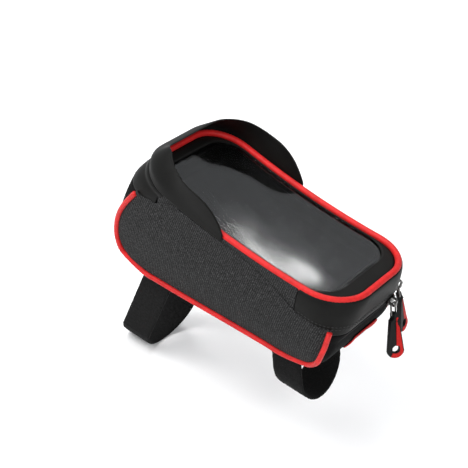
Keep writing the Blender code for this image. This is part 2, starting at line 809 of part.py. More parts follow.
def zip_stations():
    """Places along the zip from the left notch round the rear to the right notch, with their run."""
    inset = WALL_THICKNESS + GAP
    rear, half, corner = TOP_REAR - inset, TOP_HALF_WIDTH - inset, TOP_CORNER - inset
    side = rear - corner - (FRONT_NOTCH_X + ZIP_END_SPACE)
    bend = pi / 2 * corner
    across = 2 * (half - corner)
    total = 2 * side + 2 * bend + across
    return rear, half, corner, side, bend, across, total


def zip_place(run):
    """Position and outward direction at a distance along the zip."""
    rear, half, corner, side, bend, across, total = zip_stations()
    start = rear - corner - side
    if run <= side:
        return Vector((start + run, -half)), Vector((0, -1))
    run -= side
    if run <= bend:
        angle = run / corner
        out = Vector((sin(angle), -cos(angle)))
        return Vector((rear - corner, -half + corner)) + out * corner, out
    run -= bend
    if run <= across:
        return Vector((rear, -half + corner + run)), Vector((1, 0))
    run -= across
    if run <= bend:
        angle = run / corner
        out = Vector((cos(angle), sin(angle)))
        return Vector((rear - corner, half - corner)) + out * corner, out
    run -= bend
    return Vector((rear - corner - run, half)), Vector((0, 1))


def reach_along(plan, out):
    """How far a rounded rectangle reaches in a direction."""
    _, rear, half, corner = plan
    return (rear - corner) * abs(out.x) + (half - corner) * abs(out.y) + corner


def root_draw(height, x, out, upward):
    """How far the inner face behind a tape's root lies inwards of the one at the zip."""
    if upward > 0:
        floor = BODY_FOOT + SHELL_THICKNESS
        plan = body_plan((height - floor) / (body_top(x) - floor))
    else:
        plan = wall_plan((height - wall_foot(x)) / (rim_height(x) - wall_foot(x)))
    return max(reach_along(wall_plan(0.0), out) - reach_along(plan, out), 0.0)


def make_zip_tape(name, upward, phase):
    """One tape of the zip with its row of teeth; upward is 1 for the tape below the zip."""
    total = zip_stations()[-1]
    rings = []

    def section(run, tooth):
        place, out = zip_place(min(max(run, 0.0), total))
        middle = zip_height(place.x)
        edge = middle + upward * (TOOTH_REACH if tooth else -TOOTH_REACH - GAP)
        root = middle - upward * (ZIP_HALF_GAP + TAPE_OVERLAP)
        drawn = place - out * root_draw(root, place.x, out, upward)
        inner, foot = place - out * TAPE_THICKNESS, drawn - out * TAPE_THICKNESS
        return [Vector((foot.x, foot.y, root)), Vector((drawn.x, drawn.y, root)),
                Vector((place.x, place.y, edge)), Vector((inner.x, inner.y, edge))]

    rings.append(section(0.0, False))
    count = int((total - 2 * TOOTH_PITCH) / TOOTH_PITCH)
    for index in range(count):
        run = TOOTH_PITCH * (index + 1 + phase)
        half = TOOTH_WIDTH / 2
        rings.append(section(run - half - TOOTH_SLOPE, False))
        rings.append(section(run - half, True))
        rings.append(section(run + half, True))
        rings.append(section(run + half + TOOTH_SLOPE, False))
    rings.append(section(total, False))
    return add_object(name, loft(rings), black_cloth(), soft=False)


def make_zip_stops():
    """The metal stop at each front end of the zip."""
    for name, side in (("left_zip_stop", -1), ("right_zip_stop", 1)):
        bm = bmesh.new()
        x = FRONT_NOTCH_X + STOP_PLACE
        reach = TOP_HALF_WIDTH - WALL_THICKNESS
        y = side * (reach + STOP_THICKNESS / 2)
        box(bm, (-STOP_LENGTH / 2, -STOP_THICKNESS / 2, -STOP_HEIGHT / 2),
            (STOP_LENGTH / 2, STOP_THICKNESS / 2, STOP_HEIGHT / 2), place=(x, y, zip_height(x)))
        bmesh.ops.bevel(bm, geom=bm.edges[:], offset=0.4, segments=1, affect="EDGES", profile=0.5,
                        material=-1)
        add_object(name, bm, steel())


def slider_frame(place, out, lift):
    """Axes of a slider: x outwards, y along the zip, z up."""
    run = Vector((-out.y, out.x, 0.0))
    matrix = Matrix((
        (out.x, run.x, 0.0, place.x),
        (out.y, run.y, 0.0, place.y),
        (0.0, 0.0, 1.0, lift),
        (0.0, 0.0, 0.0, 1.0)))
    return matrix


def slider_places():
    """Frames of the two sliders on the outer face of the zip opening, with their hang angles."""
    centre = Vector((TOP_REAR - TOP_CORNER, TOP_HALF_WIDTH - TOP_CORNER))
    angle = radians(FAR_SLIDER_ANGLE)
    far_out = Vector((cos(angle), sin(angle)))
    far = centre + far_out * TOP_CORNER
    inset = WALL_THICKNESS + GAP
    near = Vector((TOP_REAR, NEAR_SLIDER_Y))
    return (("near", slider_frame(near, Vector((1.0, 0.0)), zip_height(TOP_REAR - inset)),
             NEAR_HANG_ANGLE),
            ("far", slider_frame(far, far_out, zip_height(far.x - inset * far_out.x)),
             FAR_HANG_ANGLE))


def prism(outline, low, high, axis):
    """A closed prism: an outline in two axes, carried along the third."""
    rings = []
    for depth in (low, high):
        ring = []
        for u, v in outline:
            point = [u, v]
            point.insert(axis, depth)
            ring.append(Vector(point))
        rings.append(ring)
    return loft(rings)


def placed(name, bm, frame, finish, soft=True):
    """Move a mesh into a frame and add it."""
    bmesh.ops.transform(bm, matrix=frame, verts=bm.verts)
    return add_object(name, bm, finish, soft)


def make_slider(name, frame):
    """A zip slider: a tapered plate, a core that runs over the teeth and a bridge."""
    back = SLIDER_STAND
    face = back + SLIDER_PLATE
    half, wide, narrow = SLIDER_LENGTH / 2, SLIDER_HEIGHT / 2, SLIDER_NARROW_HEIGHT / 2
    plate = ((-half, -narrow + 1.2), (-half + 1.2, -narrow), (half - 1.8, -wide),
             (half, -wide + 1.8), (half, wide - 1.8), (half - 1.8, wide), (-half + 1.2, narrow),
             (-half, narrow - 1.2))
    body = placed(name, prism(plate, back, face, 0), frame, steel())
    core = bmesh.new()
    box(core, (-WALL_THICKNESS, -SLIDER_CORE_LENGTH / 2, -SLIDER_CORE_HEIGHT / 2),
        (back + 0.5, SLIDER_CORE_LENGTH / 2, SLIDER_CORE_HEIGHT / 2))
    boolean(body, placed("core", core, frame, steel()), "UNION")
    top = face + BRIDGE_RISE
    inner = top - BRIDGE_THICKNESS
    end = BRIDGE_LENGTH / 2
    foot = end - BRIDGE_THICKNESS
    arch_outline = ((face - 0.5, -end), (inner, -end), (top, -end + 1.4), (top, end - 1.4),
                    (inner, end), (face - 0.5, end), (face - 0.5, foot), (inner, foot),
                    (inner, -foot), (face - 0.5, -foot))
    bridge = prism([(u, v) for u, v in arch_outline], -BRIDGE_WIDTH / 2, BRIDGE_WIDTH / 2, 1)
    boolean(body, placed("bridge", bridge, frame, steel()), "UNION")
    return body


def hang_frame(frame, hang):
    """Axes of a hanging loop or puller: x outwards from it, y along the zip, z up along it."""
    out = SLIDER_STAND + SLIDER_PLATE + (BRIDGE_RISE - BRIDGE_THICKNESS) / 2
    drop = -(BRIDGE_LENGTH / 2 - BRIDGE_THICKNESS - LOOP_WIRE - GAP)
    return frame @ Matrix.Translation((out, 0.0, drop)) @ Matrix.Rotation(-radians(hang), 4, "Y")


def make_loop(name, frame):
    """The wire loop between a slider and its puller."""
    wide, corner = LOOP_WIDTH / 2, LOOP_CORNER
    points = []
    for y, z, start in ((wide - corner, -corner, 0.0), (-wide + corner, -corner, 90.0),
                        (-wide + corner, -LOOP_LENGTH + corner, 180.0),
                        (wide - corner, -LOOP_LENGTH + corner, 270.0)):
        for step in range(4):
            angle = radians(start + 30.0 * step)
            points.append(frame @ Vector((0.0, y + corner * cos(angle), z + corner * sin(angle))))
    return tube(name, points, LOOP_WIRE, steel(), cyclic=True, resolution=1)


def inlay_outline(grow, beyond):
    """The red half of a puller's face: down its right edge and round under the foot's hole."""
    top, foot = PULLER_TOP_WIDTH / 2, PULLER_FOOT_WIDTH / 2
    taper = PULLER_SHOULDER + PULLER_TAPER
    centre = -(PULLER_LENGTH - PULLER_EYE - PULLER_EYE_WALL) + foot
    high = -INLAY_START + grow
    edge = top + (foot - top) * (high + taper) / (centre + taper)
    left = INLAY_LEFT - grow
    sweep = radians(INLAY_SWEEP) + grow / foot
    outline = [(left, high), (edge + beyond, high)]
    steps = 9
    for step in range(steps + 1):
        angle = -sweep * step / steps
        outline.append(((foot + beyond) * cos(angle), centre + (foot + beyond) * sin(angle)))
    inner = PULLER_HOLE + INLAY_HOLE_RIM - grow
    last = radians(80.0)
    for step in range(steps + 1):
        angle = -sweep + (sweep + last) * step / steps
        outline.append((inner * cos(angle), -PULLER_HOLE_PLACE + inner * sin(angle)))
    return outline


def make_puller(name, inlay_name, frame):
    """A rubber puller with an eye for the loop, a hole in its foot and a red inlay."""
    frame = frame @ Matrix.Translation((0.0, 0.0, -LOOP_LENGTH))
    eye = PULLER_EYE + PULLER_EYE_WALL
    neck, top, foot = PULLER_NECK_WIDTH / 2, PULLER_TOP_WIDTH / 2, PULLER_FOOT_WIDTH / 2
    length = PULLER_LENGTH - eye
    cut, taper = PULLER_BEVEL, PULLER_SHOULDER + PULLER_TAPER
    outline = [(-neck, eye - cut), (-neck + cut, eye), (neck - cut, eye), (neck, eye - cut),
               (neck, -PULLER_SHOULDER), (top - cut, -taper + cut), (top, -taper)]
    for step in range(9):
        angle = radians(-180.0 * step / 8)
        outline.append((foot * cos(angle), -length + foot + foot * sin(angle)))
    outline += [(-top, -taper), (-top + cut, -taper + cut), (-neck, -PULLER_SHOULDER)]
    half = PULLER_THICKNESS / 2
    puller = placed(name, prism(outline, -half, half, 0), frame, rubber())
    around = [radians(30.0 * step) for step in range(12)]
    hole = [(PULLER_HOLE * cos(a), -PULLER_HOLE_PLACE + PULLER_HOLE * sin(a)) for a in around]
    boolean(puller, placed("hole", prism(hole, -half - 1, half + 1, 0), frame, rubber()),
            "DIFFERENCE")
    bore = [(PULLER_EYE * cos(a), PULLER_EYE * sin(a)) for a in around]
    boolean(puller, placed("eye", prism(bore, -neck - 1, neck + 1, 1), frame, rubber()),
            "DIFFERENCE")
    back = half - INLAY_SINK
    pocket = prism(inlay_outline(GAP, GAP + INLAY_EDGE), back - GAP, half + 1, 0)
    boolean(puller, placed("pocket", pocket, frame, rubber()), "DIFFERENCE")
    inlay = prism(inlay_outline(0.0, -INLAY_EDGE), back, back + INLAY_THICKNESS, 0)
    placed(inlay_name, inlay, frame, red_piping(), soft=False)
    return puller


def make_rear_patch():
    """The sewn patch on the stern."""
    rings = []
    for step in range(6):
        level = PATCH_LOW + (PATCH_HIGH - PATCH_LOW) * step / 5
        rear = body_plan(level)[1]
        z = BODY_FOOT + level * (body_top(rear) - BODY_FOOT)
        near, far = PATCH_Y - PATCH_WIDTH / 2, PATCH_Y + PATCH_WIDTH / 2
        rings.append([Vector((rear + GAP, near, z)), Vector((rear + GAP, far, z)),
                      Vector((rear + GAP + PATCH_THICKNESS, far, z)),
                      Vector((rear + GAP + PATCH_THICKNESS, near, z))])
    return add_object("rear_patch", loft(rings), black_cloth())


def main():
    """Clear the scene and build every piece of the bag."""
    for old in list(bpy.data.objects):
        bpy.data.objects.remove(old)
    make_body_shell()
    make_base_pad()
    make_side_panel("left_side_panel", -1)
    make_side_panel("right_side_panel", 1)
    make_lower_piping("left_lower_piping", -1)
    make_lower_piping("right_lower_piping", 1)
    make_lid_walls()
    make_window_piping()
    make_lid_frame()
    make_window_film()
    make_window_border()
    make_phone_pocket()
    make_visor()
    make_zip_tape("lower_zip_tape", 1, 0.0)
    make_zip_tape("upper_zip_tape", -1, 0.5)
    make_zip_stops()
    for name, frame, hang in slider_places():
        make_slider(name + "_slider", frame)
        hanging = hang_frame(frame, hang)
        make_loop(name + "_loop", hanging)
        make_puller(name + "_puller", name + "_inlay", hanging)
    strap("front_strap", FRONT_STRAP_X, FRONT_STRAP_HALF, FRONT_STRAP_DEPTH, FRONT_STRAP_LEAN,
          FRONT_STRAP_ROUND, FRONT_TAIL_START, FRONT_TAIL_END)
    strap("rear_strap", REAR_STRAP_X, REAR_STRAP_HALF, REAR_STRAP_DEPTH, REAR_STRAP_LEAN,
          REAR_STRAP_ROUND, REAR_TAIL_START, REAR_TAIL_END)
    make_rear_patch()


main()
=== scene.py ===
"""Frame bag: a soft bag on a slotted pad, held by two straps.

It has a clear-topped lid over a flat tray, a sun visor round the front of the window, red
piping, heather side panels and a two-slider zip with rubber pullers. Each operator builds one
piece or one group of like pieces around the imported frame.
"""
from math import asin, atan2, cos, hypot, pi, radians, sin, sqrt

import bmesh
import bpy
from bpy.props import FloatProperty, FloatVectorProperty, PointerProperty
from mathutils import Matrix, Vector, noise


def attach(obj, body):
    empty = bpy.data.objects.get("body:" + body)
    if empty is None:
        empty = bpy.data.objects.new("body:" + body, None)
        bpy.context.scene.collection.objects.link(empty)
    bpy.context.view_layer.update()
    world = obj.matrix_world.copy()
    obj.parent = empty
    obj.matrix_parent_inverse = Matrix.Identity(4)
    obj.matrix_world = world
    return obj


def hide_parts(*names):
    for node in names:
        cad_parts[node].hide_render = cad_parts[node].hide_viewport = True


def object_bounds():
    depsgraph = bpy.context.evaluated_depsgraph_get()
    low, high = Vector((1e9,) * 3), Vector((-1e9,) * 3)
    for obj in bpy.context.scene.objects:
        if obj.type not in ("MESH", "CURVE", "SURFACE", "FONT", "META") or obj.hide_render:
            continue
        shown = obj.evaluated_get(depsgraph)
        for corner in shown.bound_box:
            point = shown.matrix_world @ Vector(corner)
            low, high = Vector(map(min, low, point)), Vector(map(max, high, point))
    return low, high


bl_info = {
    "name": "Frame Bag",
    "version": (1, 0, 0),
    "blender": (4, 5, 0),
    "location": "View3D > Sidebar > Frame Bag",
    "description": "Builds a soft frame bag with a clear-windowed lid",
    "category": "Add Mesh",
}

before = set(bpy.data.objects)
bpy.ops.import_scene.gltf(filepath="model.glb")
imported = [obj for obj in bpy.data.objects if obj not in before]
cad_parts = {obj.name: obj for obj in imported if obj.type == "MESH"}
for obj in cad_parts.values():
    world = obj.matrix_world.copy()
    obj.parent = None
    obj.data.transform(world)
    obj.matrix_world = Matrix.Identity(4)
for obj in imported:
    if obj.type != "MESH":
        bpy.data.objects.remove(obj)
CAD_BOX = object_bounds()
MM = 0.001

# Sizes are in millimetres down to the stage; points closer than MERGE are one point
MERGE = 0.0005

# Units of a piece's cloth map for each millimetre of its surface
CLOTH_MAP = 0.01

# Window rim
RIM_FRONT, RIM_REAR, RIM_HALF, RIM_CORNER = -92.7, 90.5, 48.0, 30.0
RIM_PLAN = (RIM_FRONT, RIM_REAR, RIM_HALF, RIM_CORNER)
RIM_MID_HEIGHT, RIM_SLOPE, RIM_RISE, RIM_REACH = 77.9, 0.0993, 6.8, 91.0
PIPING = 2.5

# Lid walls and zip
WALL_DEPTH, WALL_FLARE, WALL_THICKNESS, WALL_ROLL = 20.0, 3.5, 3.5, 0.07
REAR_EXTRA_DEPTH, DEEPENING_START, DEEPENING_LENGTH = 4.5, 45.0, 45.0
FRONT_NOTCH, REAR_NOTCH, NOTCH_RUN = -70.5, 55.5, 8.0
ZIP_HALF_GAP, TAPE_OVERLAP = 3.0, 5.0

# Creases of the coated walls: fineness along the wall, fineness upwards and depth
WALL_CREASES = ((0.08, 0.16, 0.18), (0.3, 0.45, 0.06))

# Body
PAD_THICKNESS, GAP = 4.1, 0.3
BODY_FOOT = PAD_THICKNESS + GAP
BASE_FRONT, BASE_REAR, BASE_HALF = -86.0, 62.0, 35.0
BELLY_FRONT, BELLY_LEVEL, STERN_REAR, STERN_LEVEL = -108.0, 0.34, 87.0, 0.8
TOP_FRONT, TOP_REAR, TOP_HALF = -105.0, 91.5, 49.5
SIDE_SWELL, EDGE_CORNER, TOP_CORNER = 1.6, 8.0, 22.0
CORNER_START, CORNER_GROWTH, CORNER_LIMIT = 0.45, 1.5, 0.985
SHELL_THICKNESS, LIP_REACH, TUB_SWELL, TUB_SWELL_FORM = 3.0, 2.3, 0.9, 0.8
ROUTE_MIDDLE = -10.0

# Foot seam: its height over the pad at the front, its climb to the rear, and the panels' drop
FOOT_LOW, FOOT_CLIMB, FOOT_START, FOOT_RUN, FOOT_DROP = -1.4, 3.6, -75.0, 130.0, 1.4

# Side panels and their piping; a turn is measured round a corner from the side face
PANEL_OFFSET, LOWER_PIPING = 1.5, 2.0
PANEL_COLUMNS, PANEL_ROWS, FLAP_ROWS, PANEL_SPREAD = 92, 34, 12, 0.45
FRONT_TURN, FRONT_TURN_BACK, REAR_TURN = radians(36.0), radians(19.0), radians(28.0)
REAR_PIPING_X, REAR_PIPING_LEAN = 80.6, 2.4
PIPING_LEVELS = (1.0, 0.93, 0.84, 0.74, 0.64, 0.54, 0.45, 0.38, 0.3, 0.23, 0.16, 0.1)
RIGHT_PIPING_TOP = 0.88
FLAP_HEAD = ((-92.0, 1.0), (-80.0, 3.6), (-73.0, 9.5), (-66.0, 16.5), (-56.0, 21.4),
             (-44.0, 22.4))
LEFT_FLAP = FLAP_HEAD + ((0.0, 22.4), (24.0, 19.2), (40.0, 14.0), (56.0, 7.6), (79.0, 7.6))
RIGHT_FLAP = FLAP_HEAD + ((0.0, 21.6), (20.0, 19.2), (36.0, 14.0), (48.0, 7.6), (58.0, -2.6))

# Cross wrinkles of a piping
WRINKLE_DRIFT, WRINKLE_DRIFT_FINENESS, WRINKLE_SLANT = 2.0, 0.15, 0.9
WRINKLE_LEAST, WRINKLE_GROWTH, WRINKLE_MOST = 0.25, 12.0, 2.5

# Visor: height over the rim and lean outwards, along the bag
VISOR_END = -11.0
VISOR_HEIGHTS = ((-97.0, 9.0), (-90.0, 16.0), (-80.0, 20.0), (-65.0, 21.5), (-50.0, 20.0),
                 (-35.0, 18.5), (-24.0, 14.5), (-16.0, 8.0), (-11.0, 2.0))
VISOR_LEANS = ((-97.0, -10.0), (-80.0, -11.0), (-50.0, 0.7), (-11.0, 0.0))

# Photograph's camera in the bag's frame
CAMERA_PLACE = Vector((377.1, -752.8, 643.3))
CAMERA_TURN, CAMERA_TILT, CAMERA_ROLL = radians(28.444), radians(34.846), radians(13.409)
CAMERA_LENS, CAMERA_SENSOR = 108.4, 36.0


def tint(label, words, value):
    """A colour the user can change."""
    return FloatVectorProperty(name=label, description=words, subtype="COLOR", size=3, min=0.0,
                               max=1.0, default=value)


def measure(label, words, value):
    """A length the user can change; the value is in millimetres, the property in metres."""
    return FloatProperty(name=label, description=words, unit="LENGTH", default=value * MM)


class BagColours(bpy.types.PropertyGroup):
    """Colours of the bag's finishes"""
    heather_dark: tint("Heather Dark", "Dark fibres of the side panels", (0.006, 0.006, 0.006))
    heather_pale: tint("Heather Pale", "Pale fibres of the side panels", (0.085, 0.085, 0.086))
    piping: tint("Piping", "Red piping cloth", (0.58, 0.012, 0.012))
    coated: tint("Coated Cloth", "Cloth of the bands and the visor", (0.0065, 0.0065, 0.006))
    lining: tint("Lining", "Plain cloth of the tub and the tray", (0.0045, 0.0045, 0.0046))
    webbing: tint("Webbing", "Straps and zip tapes", (0.01, 0.01, 0.01))
    rubber: tint("Puller Rubber", "Black rubber of the pullers", (0.006, 0.006, 0.006))
    red_rubber: tint("Red Rubber", "Red half of the pullers", (0.52, 0.01, 0.009))
    metal: tint("Zip Metal", "Plated sliders, loops and stops", (0.17, 0.165, 0.16))


class BagSizes(bpy.types.PropertyGroup):
    """Sizes of the bag's sewn details"""
    stitch: measure("Stitch", "Length of one stitch", 2.0)
    stitch_gap: measure("Stitch Spacing", "Distance from one stitch to the next", 2.9)
    thread: measure("Thread", "Radius of the thread", 0.28)
    cloth: measure("Panel Cloth", "Thickness of the side panels' cloth", 1.2)
    belly: measure("Panel Belly", "How far the side panels swell between their seams", 1.6)
    visor: measure("Visor", "Thickness of the visor's sheet", 1.5)
    tooth: measure("Tooth Pitch", "Distance from one zip tooth to the next", 1.7)


def colour(name):
    """A user colour."""
    return tuple(getattr(bpy.context.scene.bag_colours, name))


def size(name):
    """A user size in millimetres."""
    return getattr(bpy.context.scene.bag_sizes, name) / MM


def shade(value, share):
    """A colour made darker or paler."""
    return tuple(part * share for part in value)


def smooth(value):
    """Ease from 0 to 1."""
    value = min(max(value, 0.0), 1.0)
    return value * value * (3.0 - 2.0 * value)


def along(table, x):
    """Read a smooth curve through a table of (x, value) pairs."""
    if x <= table[0][0]:
        return table[0][1]
    for index, ((x0, v0), (x1, v1)) in enumerate(zip(table, table[1:])):
        if x <= x1:
            before = table[max(index - 1, 0)]
            after = table[min(index + 2, len(table) - 1)]
            span = x1 - x0
            share = (x - x0) / span
            slope0 = (v1 - before[1]) / max(x1 - before[0], 1e-6) * span
            slope1 = (after[1] - v0) / max(after[0] - x0, 1e-6) * span
            square, cube = share * share, share ** 3
            return ((2 * cube - 3 * square + 1) * v0 + (cube - 2 * square + share) * slope0
                    + (3 * square - 2 * cube) * v1 + (cube - square) * slope1)
    return table[-1][1]


def rim_height(x):
    """Height of the window piping: it slopes to the rear and dips in the middle."""
    return RIM_MID_HEIGHT - RIM_SLOPE * x + RIM_RISE * (x / RIM_REACH) ** 2


def wall_foot(x):
    """Height of the lid walls' lower edge."""
    deepening = smooth((x - DEEPENING_START) / DEEPENING_LENGTH)
    return rim_height(x) - WALL_DEPTH - REAR_EXTRA_DEPTH * deepening


def zip_height(x):
    """Height of the zip's middle line."""
    return wall_foot(x) - ZIP_HALF_GAP


def body_top(x):
    """Height of the body's upper edge."""
    opening = smooth((x - FRONT_NOTCH + NOTCH_RUN) / NOTCH_RUN)
    return wall_foot(x) - 2 * GAP - (2 * ZIP_HALF_GAP - 2 * GAP) * opening


def bulge(level, peak, base, furthest, top):
    """A round bulge from the base to its furthest point, then a straight run to the top edge."""
    if level < peak:
        share = sqrt(max(1.0 - (1.0 - level / peak) ** 2, 0.0))
        return base + (furthest - base) * share
    share = (level - peak) / (1.0 - peak)
    return furthest + (top - furthest) * share


def body_plan(level):
    """Front, rear, half width and corner radius of the body at a level from 0 to 1."""
    front = bulge(level, BELLY_LEVEL, BASE_FRONT, BELLY_FRONT, TOP_FRONT)
    rear = bulge(level, STERN_LEVEL, BASE_REAR, STERN_REAR, TOP_REAR)
    swell = 1.0 - max(1.0 - level, 0.0) ** SIDE_SWELL
    half = BASE_HALF + (TOP_HALF - BASE_HALF) * swell
    turn = max((level - CORNER_START) / (1.0 - CORNER_START), 0.0) ** CORNER_GROWTH
    return front, rear, half, EDGE_CORNER + (TOP_CORNER - EDGE_CORNER) * turn


def wall_plan(share):
    """The same for the lid walls, from their foot (0) to the rim (1)."""
    foot = (TOP_FRONT, TOP_REAR, TOP_HALF, TOP_CORNER)
    top = (RIM_FRONT - WALL_FLARE, RIM_REAR + WALL_FLARE, RIM_HALF + WALL_FLARE,
           RIM_CORNER + WALL_FLARE)
    return tuple(a + (b - a) * share for a, b in zip(foot, top))


def inset_plan(plan, inset):
    """A plan moved inwards all round."""
    front, rear, half, corner = plan
    return front + inset, rear - inset, half - inset, max(corner - inset, 1.5)


def route(plan, share, end, start):
    """Place and outward direction on a plan's outline: from the left side round one end."""
    front, rear, half, corner = wall_plan(0.5)
    side = (rear - corner - start) if end > 0 else (start - front - corner)
    bend, across = pi / 2 * corner, 2 * (half - corner)
    run = share * (2 * side + 2 * bend + across)
    front, rear, half, corner = plan
    tangent, edge = (rear - corner, rear) if end > 0 else (front + corner, front)
    hand = -1.0
    if run > side + bend + across / 2:
        run = 2 * side + 2 * bend + across - run
        hand = 1.0
    if run <= side:
        return Vector((start + (tangent - start) * run / side, hand * half)), Vector((0.0, hand))
    run -= side
    if run <= bend:
        angle = run / bend * pi / 2
        out = Vector((end * sin(angle), hand * cos(angle)))
        return Vector((tangent, hand * (half - corner))) + out * corner, out
    run -= bend
    return (Vector((edge, hand * (half - corner) * (1.0 - 2.0 * run / across))),
            Vector((end, 0.0)))


def ring(plan, share):
    """Place and outward direction all round a plan."""
    share = share % 1.0
    if share < 0.5:
        return route(plan, share * 2.0, 1, ROUTE_MIDDLE)
    return route(plan, 2.0 - share * 2.0, -1, ROUTE_MIDDLE)


def side_point(plan, x, z, offset, side):
    """A point on the bag's side, moved outwards; side is -1 left, 1 right."""
    front, rear, half, corner = plan
    bend = corner + offset
    beyond = max(front + corner - x, x - (rear - corner), 0.0)
    beyond = min(beyond, bend * CORNER_LIMIT)
    return Vector((x, side * (half + offset - bend + sqrt(bend * bend - beyond * beyond)), z))


def corner_point(level, end, turn, side):
    """A point on a corner of the body; the turn is measured from the side face."""
    front, rear, half, corner = body_plan(level)
    centre = rear - corner if end > 0 else front + corner
    x = centre + end * corner * sin(turn)
    y = side * (half - corner + corner * cos(turn))
    return Vector((x, y, BODY_FOOT + level * (body_top(x) - BODY_FOOT)))


def foot_tilt(x):
    """How far the foot seam stands over the pad: low at the front, high at the stern."""
    return FOOT_LOW + FOOT_CLIMB * smooth((x - FOOT_START) / FOOT_RUN)


def piping_point(level, end, side):
    """Centre of the lower piping on a corner, lifted off the surface."""
    if end > 0:
        _, rear, _, corner = body_plan(level)
        inset = rear - REAR_PIPING_X - REAR_PIPING_LEAN * level
        steady = asin(min(max(1.0 - inset / corner, 0.4), 0.8))
        turn = REAR_TURN + (steady - REAR_TURN) * smooth((level - 0.3) / 0.5)
        tilt, foot_lift = 0.3, 0.2
    else:
        turn = FRONT_TURN - FRONT_TURN_BACK * smooth((level - 0.32) / 0.7)
        tilt, foot_lift = 1.0, 0.9
    level_step, turn_step = 0.01, 0.05
    rise = (corner_point(min(level + level_step, 1.0), end, turn, side)
            - corner_point(max(level - level_step, 0.0), end, turn, side))
    bend = (corner_point(level, end, turn + turn_step, side)
            - corner_point(level, end, turn - turn_step, side))
    normal = rise.cross(bend).normalized()
    if normal.y * side < 0:
        normal = -normal
    normal.z *= tilt
    lift = GAP + foot_lift * (1.0 - smooth(level / 0.4))
    place = corner_point(level, end, turn, side) + normal.normalized() * (LOWER_PIPING + lift)
    place.z += foot_tilt(place.x) * (1.0 - smooth(level / 0.5))
    return place


def resample(points, spacing, closed=False):
    """Points at even spacing on a smooth curve through the given ones."""
    points = [Vector(point) for point in points]
    count, fineness = len(points), 12
    dense = []
    for index in range(count if closed else count - 1):
        p1, p2 = points[index], points[(index + 1) % count]
        p0 = points[(index - 1) % count] if closed or index else p1
        p3 = points[(index + 2) % count] if closed or index + 2 < count else p2
        for step in range(fineness):
            t = step / fineness
            dense.append(0.5 * (2 * p1 + (p2 - p0) * t + (2 * p0 - 5 * p1 + 4 * p2 - p3) * t * t
                                + (3 * p1 - 3 * p2 + p3 - p0) * t ** 3))
    dense.append(points[0] if closed else points[-1])
    runs = [0.0]
    for a, b in zip(dense, dense[1:]):
        runs.append(runs[-1] + (b - a).length)
    steps = max(round(runs[-1] / spacing), 3)
    result = []
    index = 0
    for step in range(steps + 1):
        target = runs[-1] * step / steps
        while index < len(runs) - 2 and runs[index + 1] < target:
            index += 1
        span = max(runs[index + 1] - runs[index], 1e-9)
        result.append(dense[index].lerp(dense[index + 1], (target - runs[index]) / span))
    return result[:-1] if closed else result


# Mesh helpers

def skin(columns, rows, place, wrap_across=False, wrap_along=False):
    """A grid laid over a surface; place(i, j) gives a point in millimetres."""
    bm = bmesh.new()
    bmesh.ops.create_grid(bm, x_segments=columns, y_segments=rows, size=0.5)
    layer = bm.loops.layers.uv.new("Cloth")
    index = {vert: (round((vert.co.x + 0.5) * columns), round((vert.co.y + 0.5) * rows))
             for vert in bm.verts}
    points = [[place(i, j) for j in range(rows + 1)] for i in range(columns + 1)]
    across = [0.0]
    for j in range(rows):
        across.append(across[-1] + (points[columns // 2][j + 1] - points[columns // 2][j]).length)
    runs = [0.0]
    for i in range(columns):
        step = sum((points[i + 1][j] - points[i][j]).length for j in range(rows + 1))
        runs.append(runs[-1] + step / (rows + 1))
    for face in bm.faces:
        for corner in face.loops:
            i, j = index[corner.vert]
            corner[layer].uv = (runs[i] * CLOTH_MAP, across[j] * CLOTH_MAP)
    for vert, (i, j) in index.items():
        vert.co = points[i][j]
    if wrap_across or wrap_along:
        bmesh.ops.remove_doubles(bm, verts=bm.verts, dist=MERGE)
    return bm


def sleeve(columns, rows, place, closed=False):
    """A skin wrapped round a section; unless it closes on itself, its ends are filled."""
    bm = skin(columns, rows, place, wrap_across=True, wrap_along=closed)
    if not closed:
        edges = [edge for edge in bm.edges if edge.is_boundary]
        bmesh.ops.holes_fill(bm, edges=edges, sides=0)
    return bm


def tube(points, radius, around=14, closed=False, wrinkle=0.0, pitch=2.4):
    """A round cord along points, with fine cross wrinkles that grow in tight bends."""
    count = len(points)
    last = count if closed else count - 1

    def steps(items):
        """The step from the item before to the item after each one."""
        result = []
        for index in range(count):
            before = items[index - 1] if closed or index else items[0]
            after = items[(index + 1) % count] if closed or index < count - 1 else items[-1]
            result.append(after - before)
        return result

    tangents = [step.normalized() for step in steps(points)]
    bends = [step.length for step in steps(tangents)]
    side = tangents[0].orthogonal().normalized()
    sides = []
    for tangent in tangents:
        side = (side - tangent * side.dot(tangent)).normalized()
        sides.append(side)
    twist = 0.0
    if closed:
        final = (sides[-1] - tangents[0] * sides[-1].dot(tangents[0])).normalized()
        twist = atan2(final.cross(sides[0]).dot(tangents[0]), final.dot(sides[0]))
    run = [0.0]
    for index in range(last):
        run.append(run[-1] + (points[(index + 1) % count] - points[index]).length)

    def place(i, j):
        index = i % count
        angle = 2 * pi * j / around + twist * i / last
        normal = Matrix.Rotation(angle, 3, tangents[index]) @ sides[index]
        drift = noise.noise(points[index] * WRINKLE_DRIFT_FINENESS) * WRINKLE_DRIFT
        wave = 0.0 if closed and i in (0, last) else 2 * pi * run[i] / pitch
        fold = sin(wave + drift + WRINKLE_SLANT * sin(angle))
        tight = WRINKLE_LEAST + min(bends[index] * WRINKLE_GROWTH, WRINKLE_MOST)
        return points[index] + normal * radius * (1.0 + wrinkle * fold * tight)

    return sleeve(last, around, place, closed)


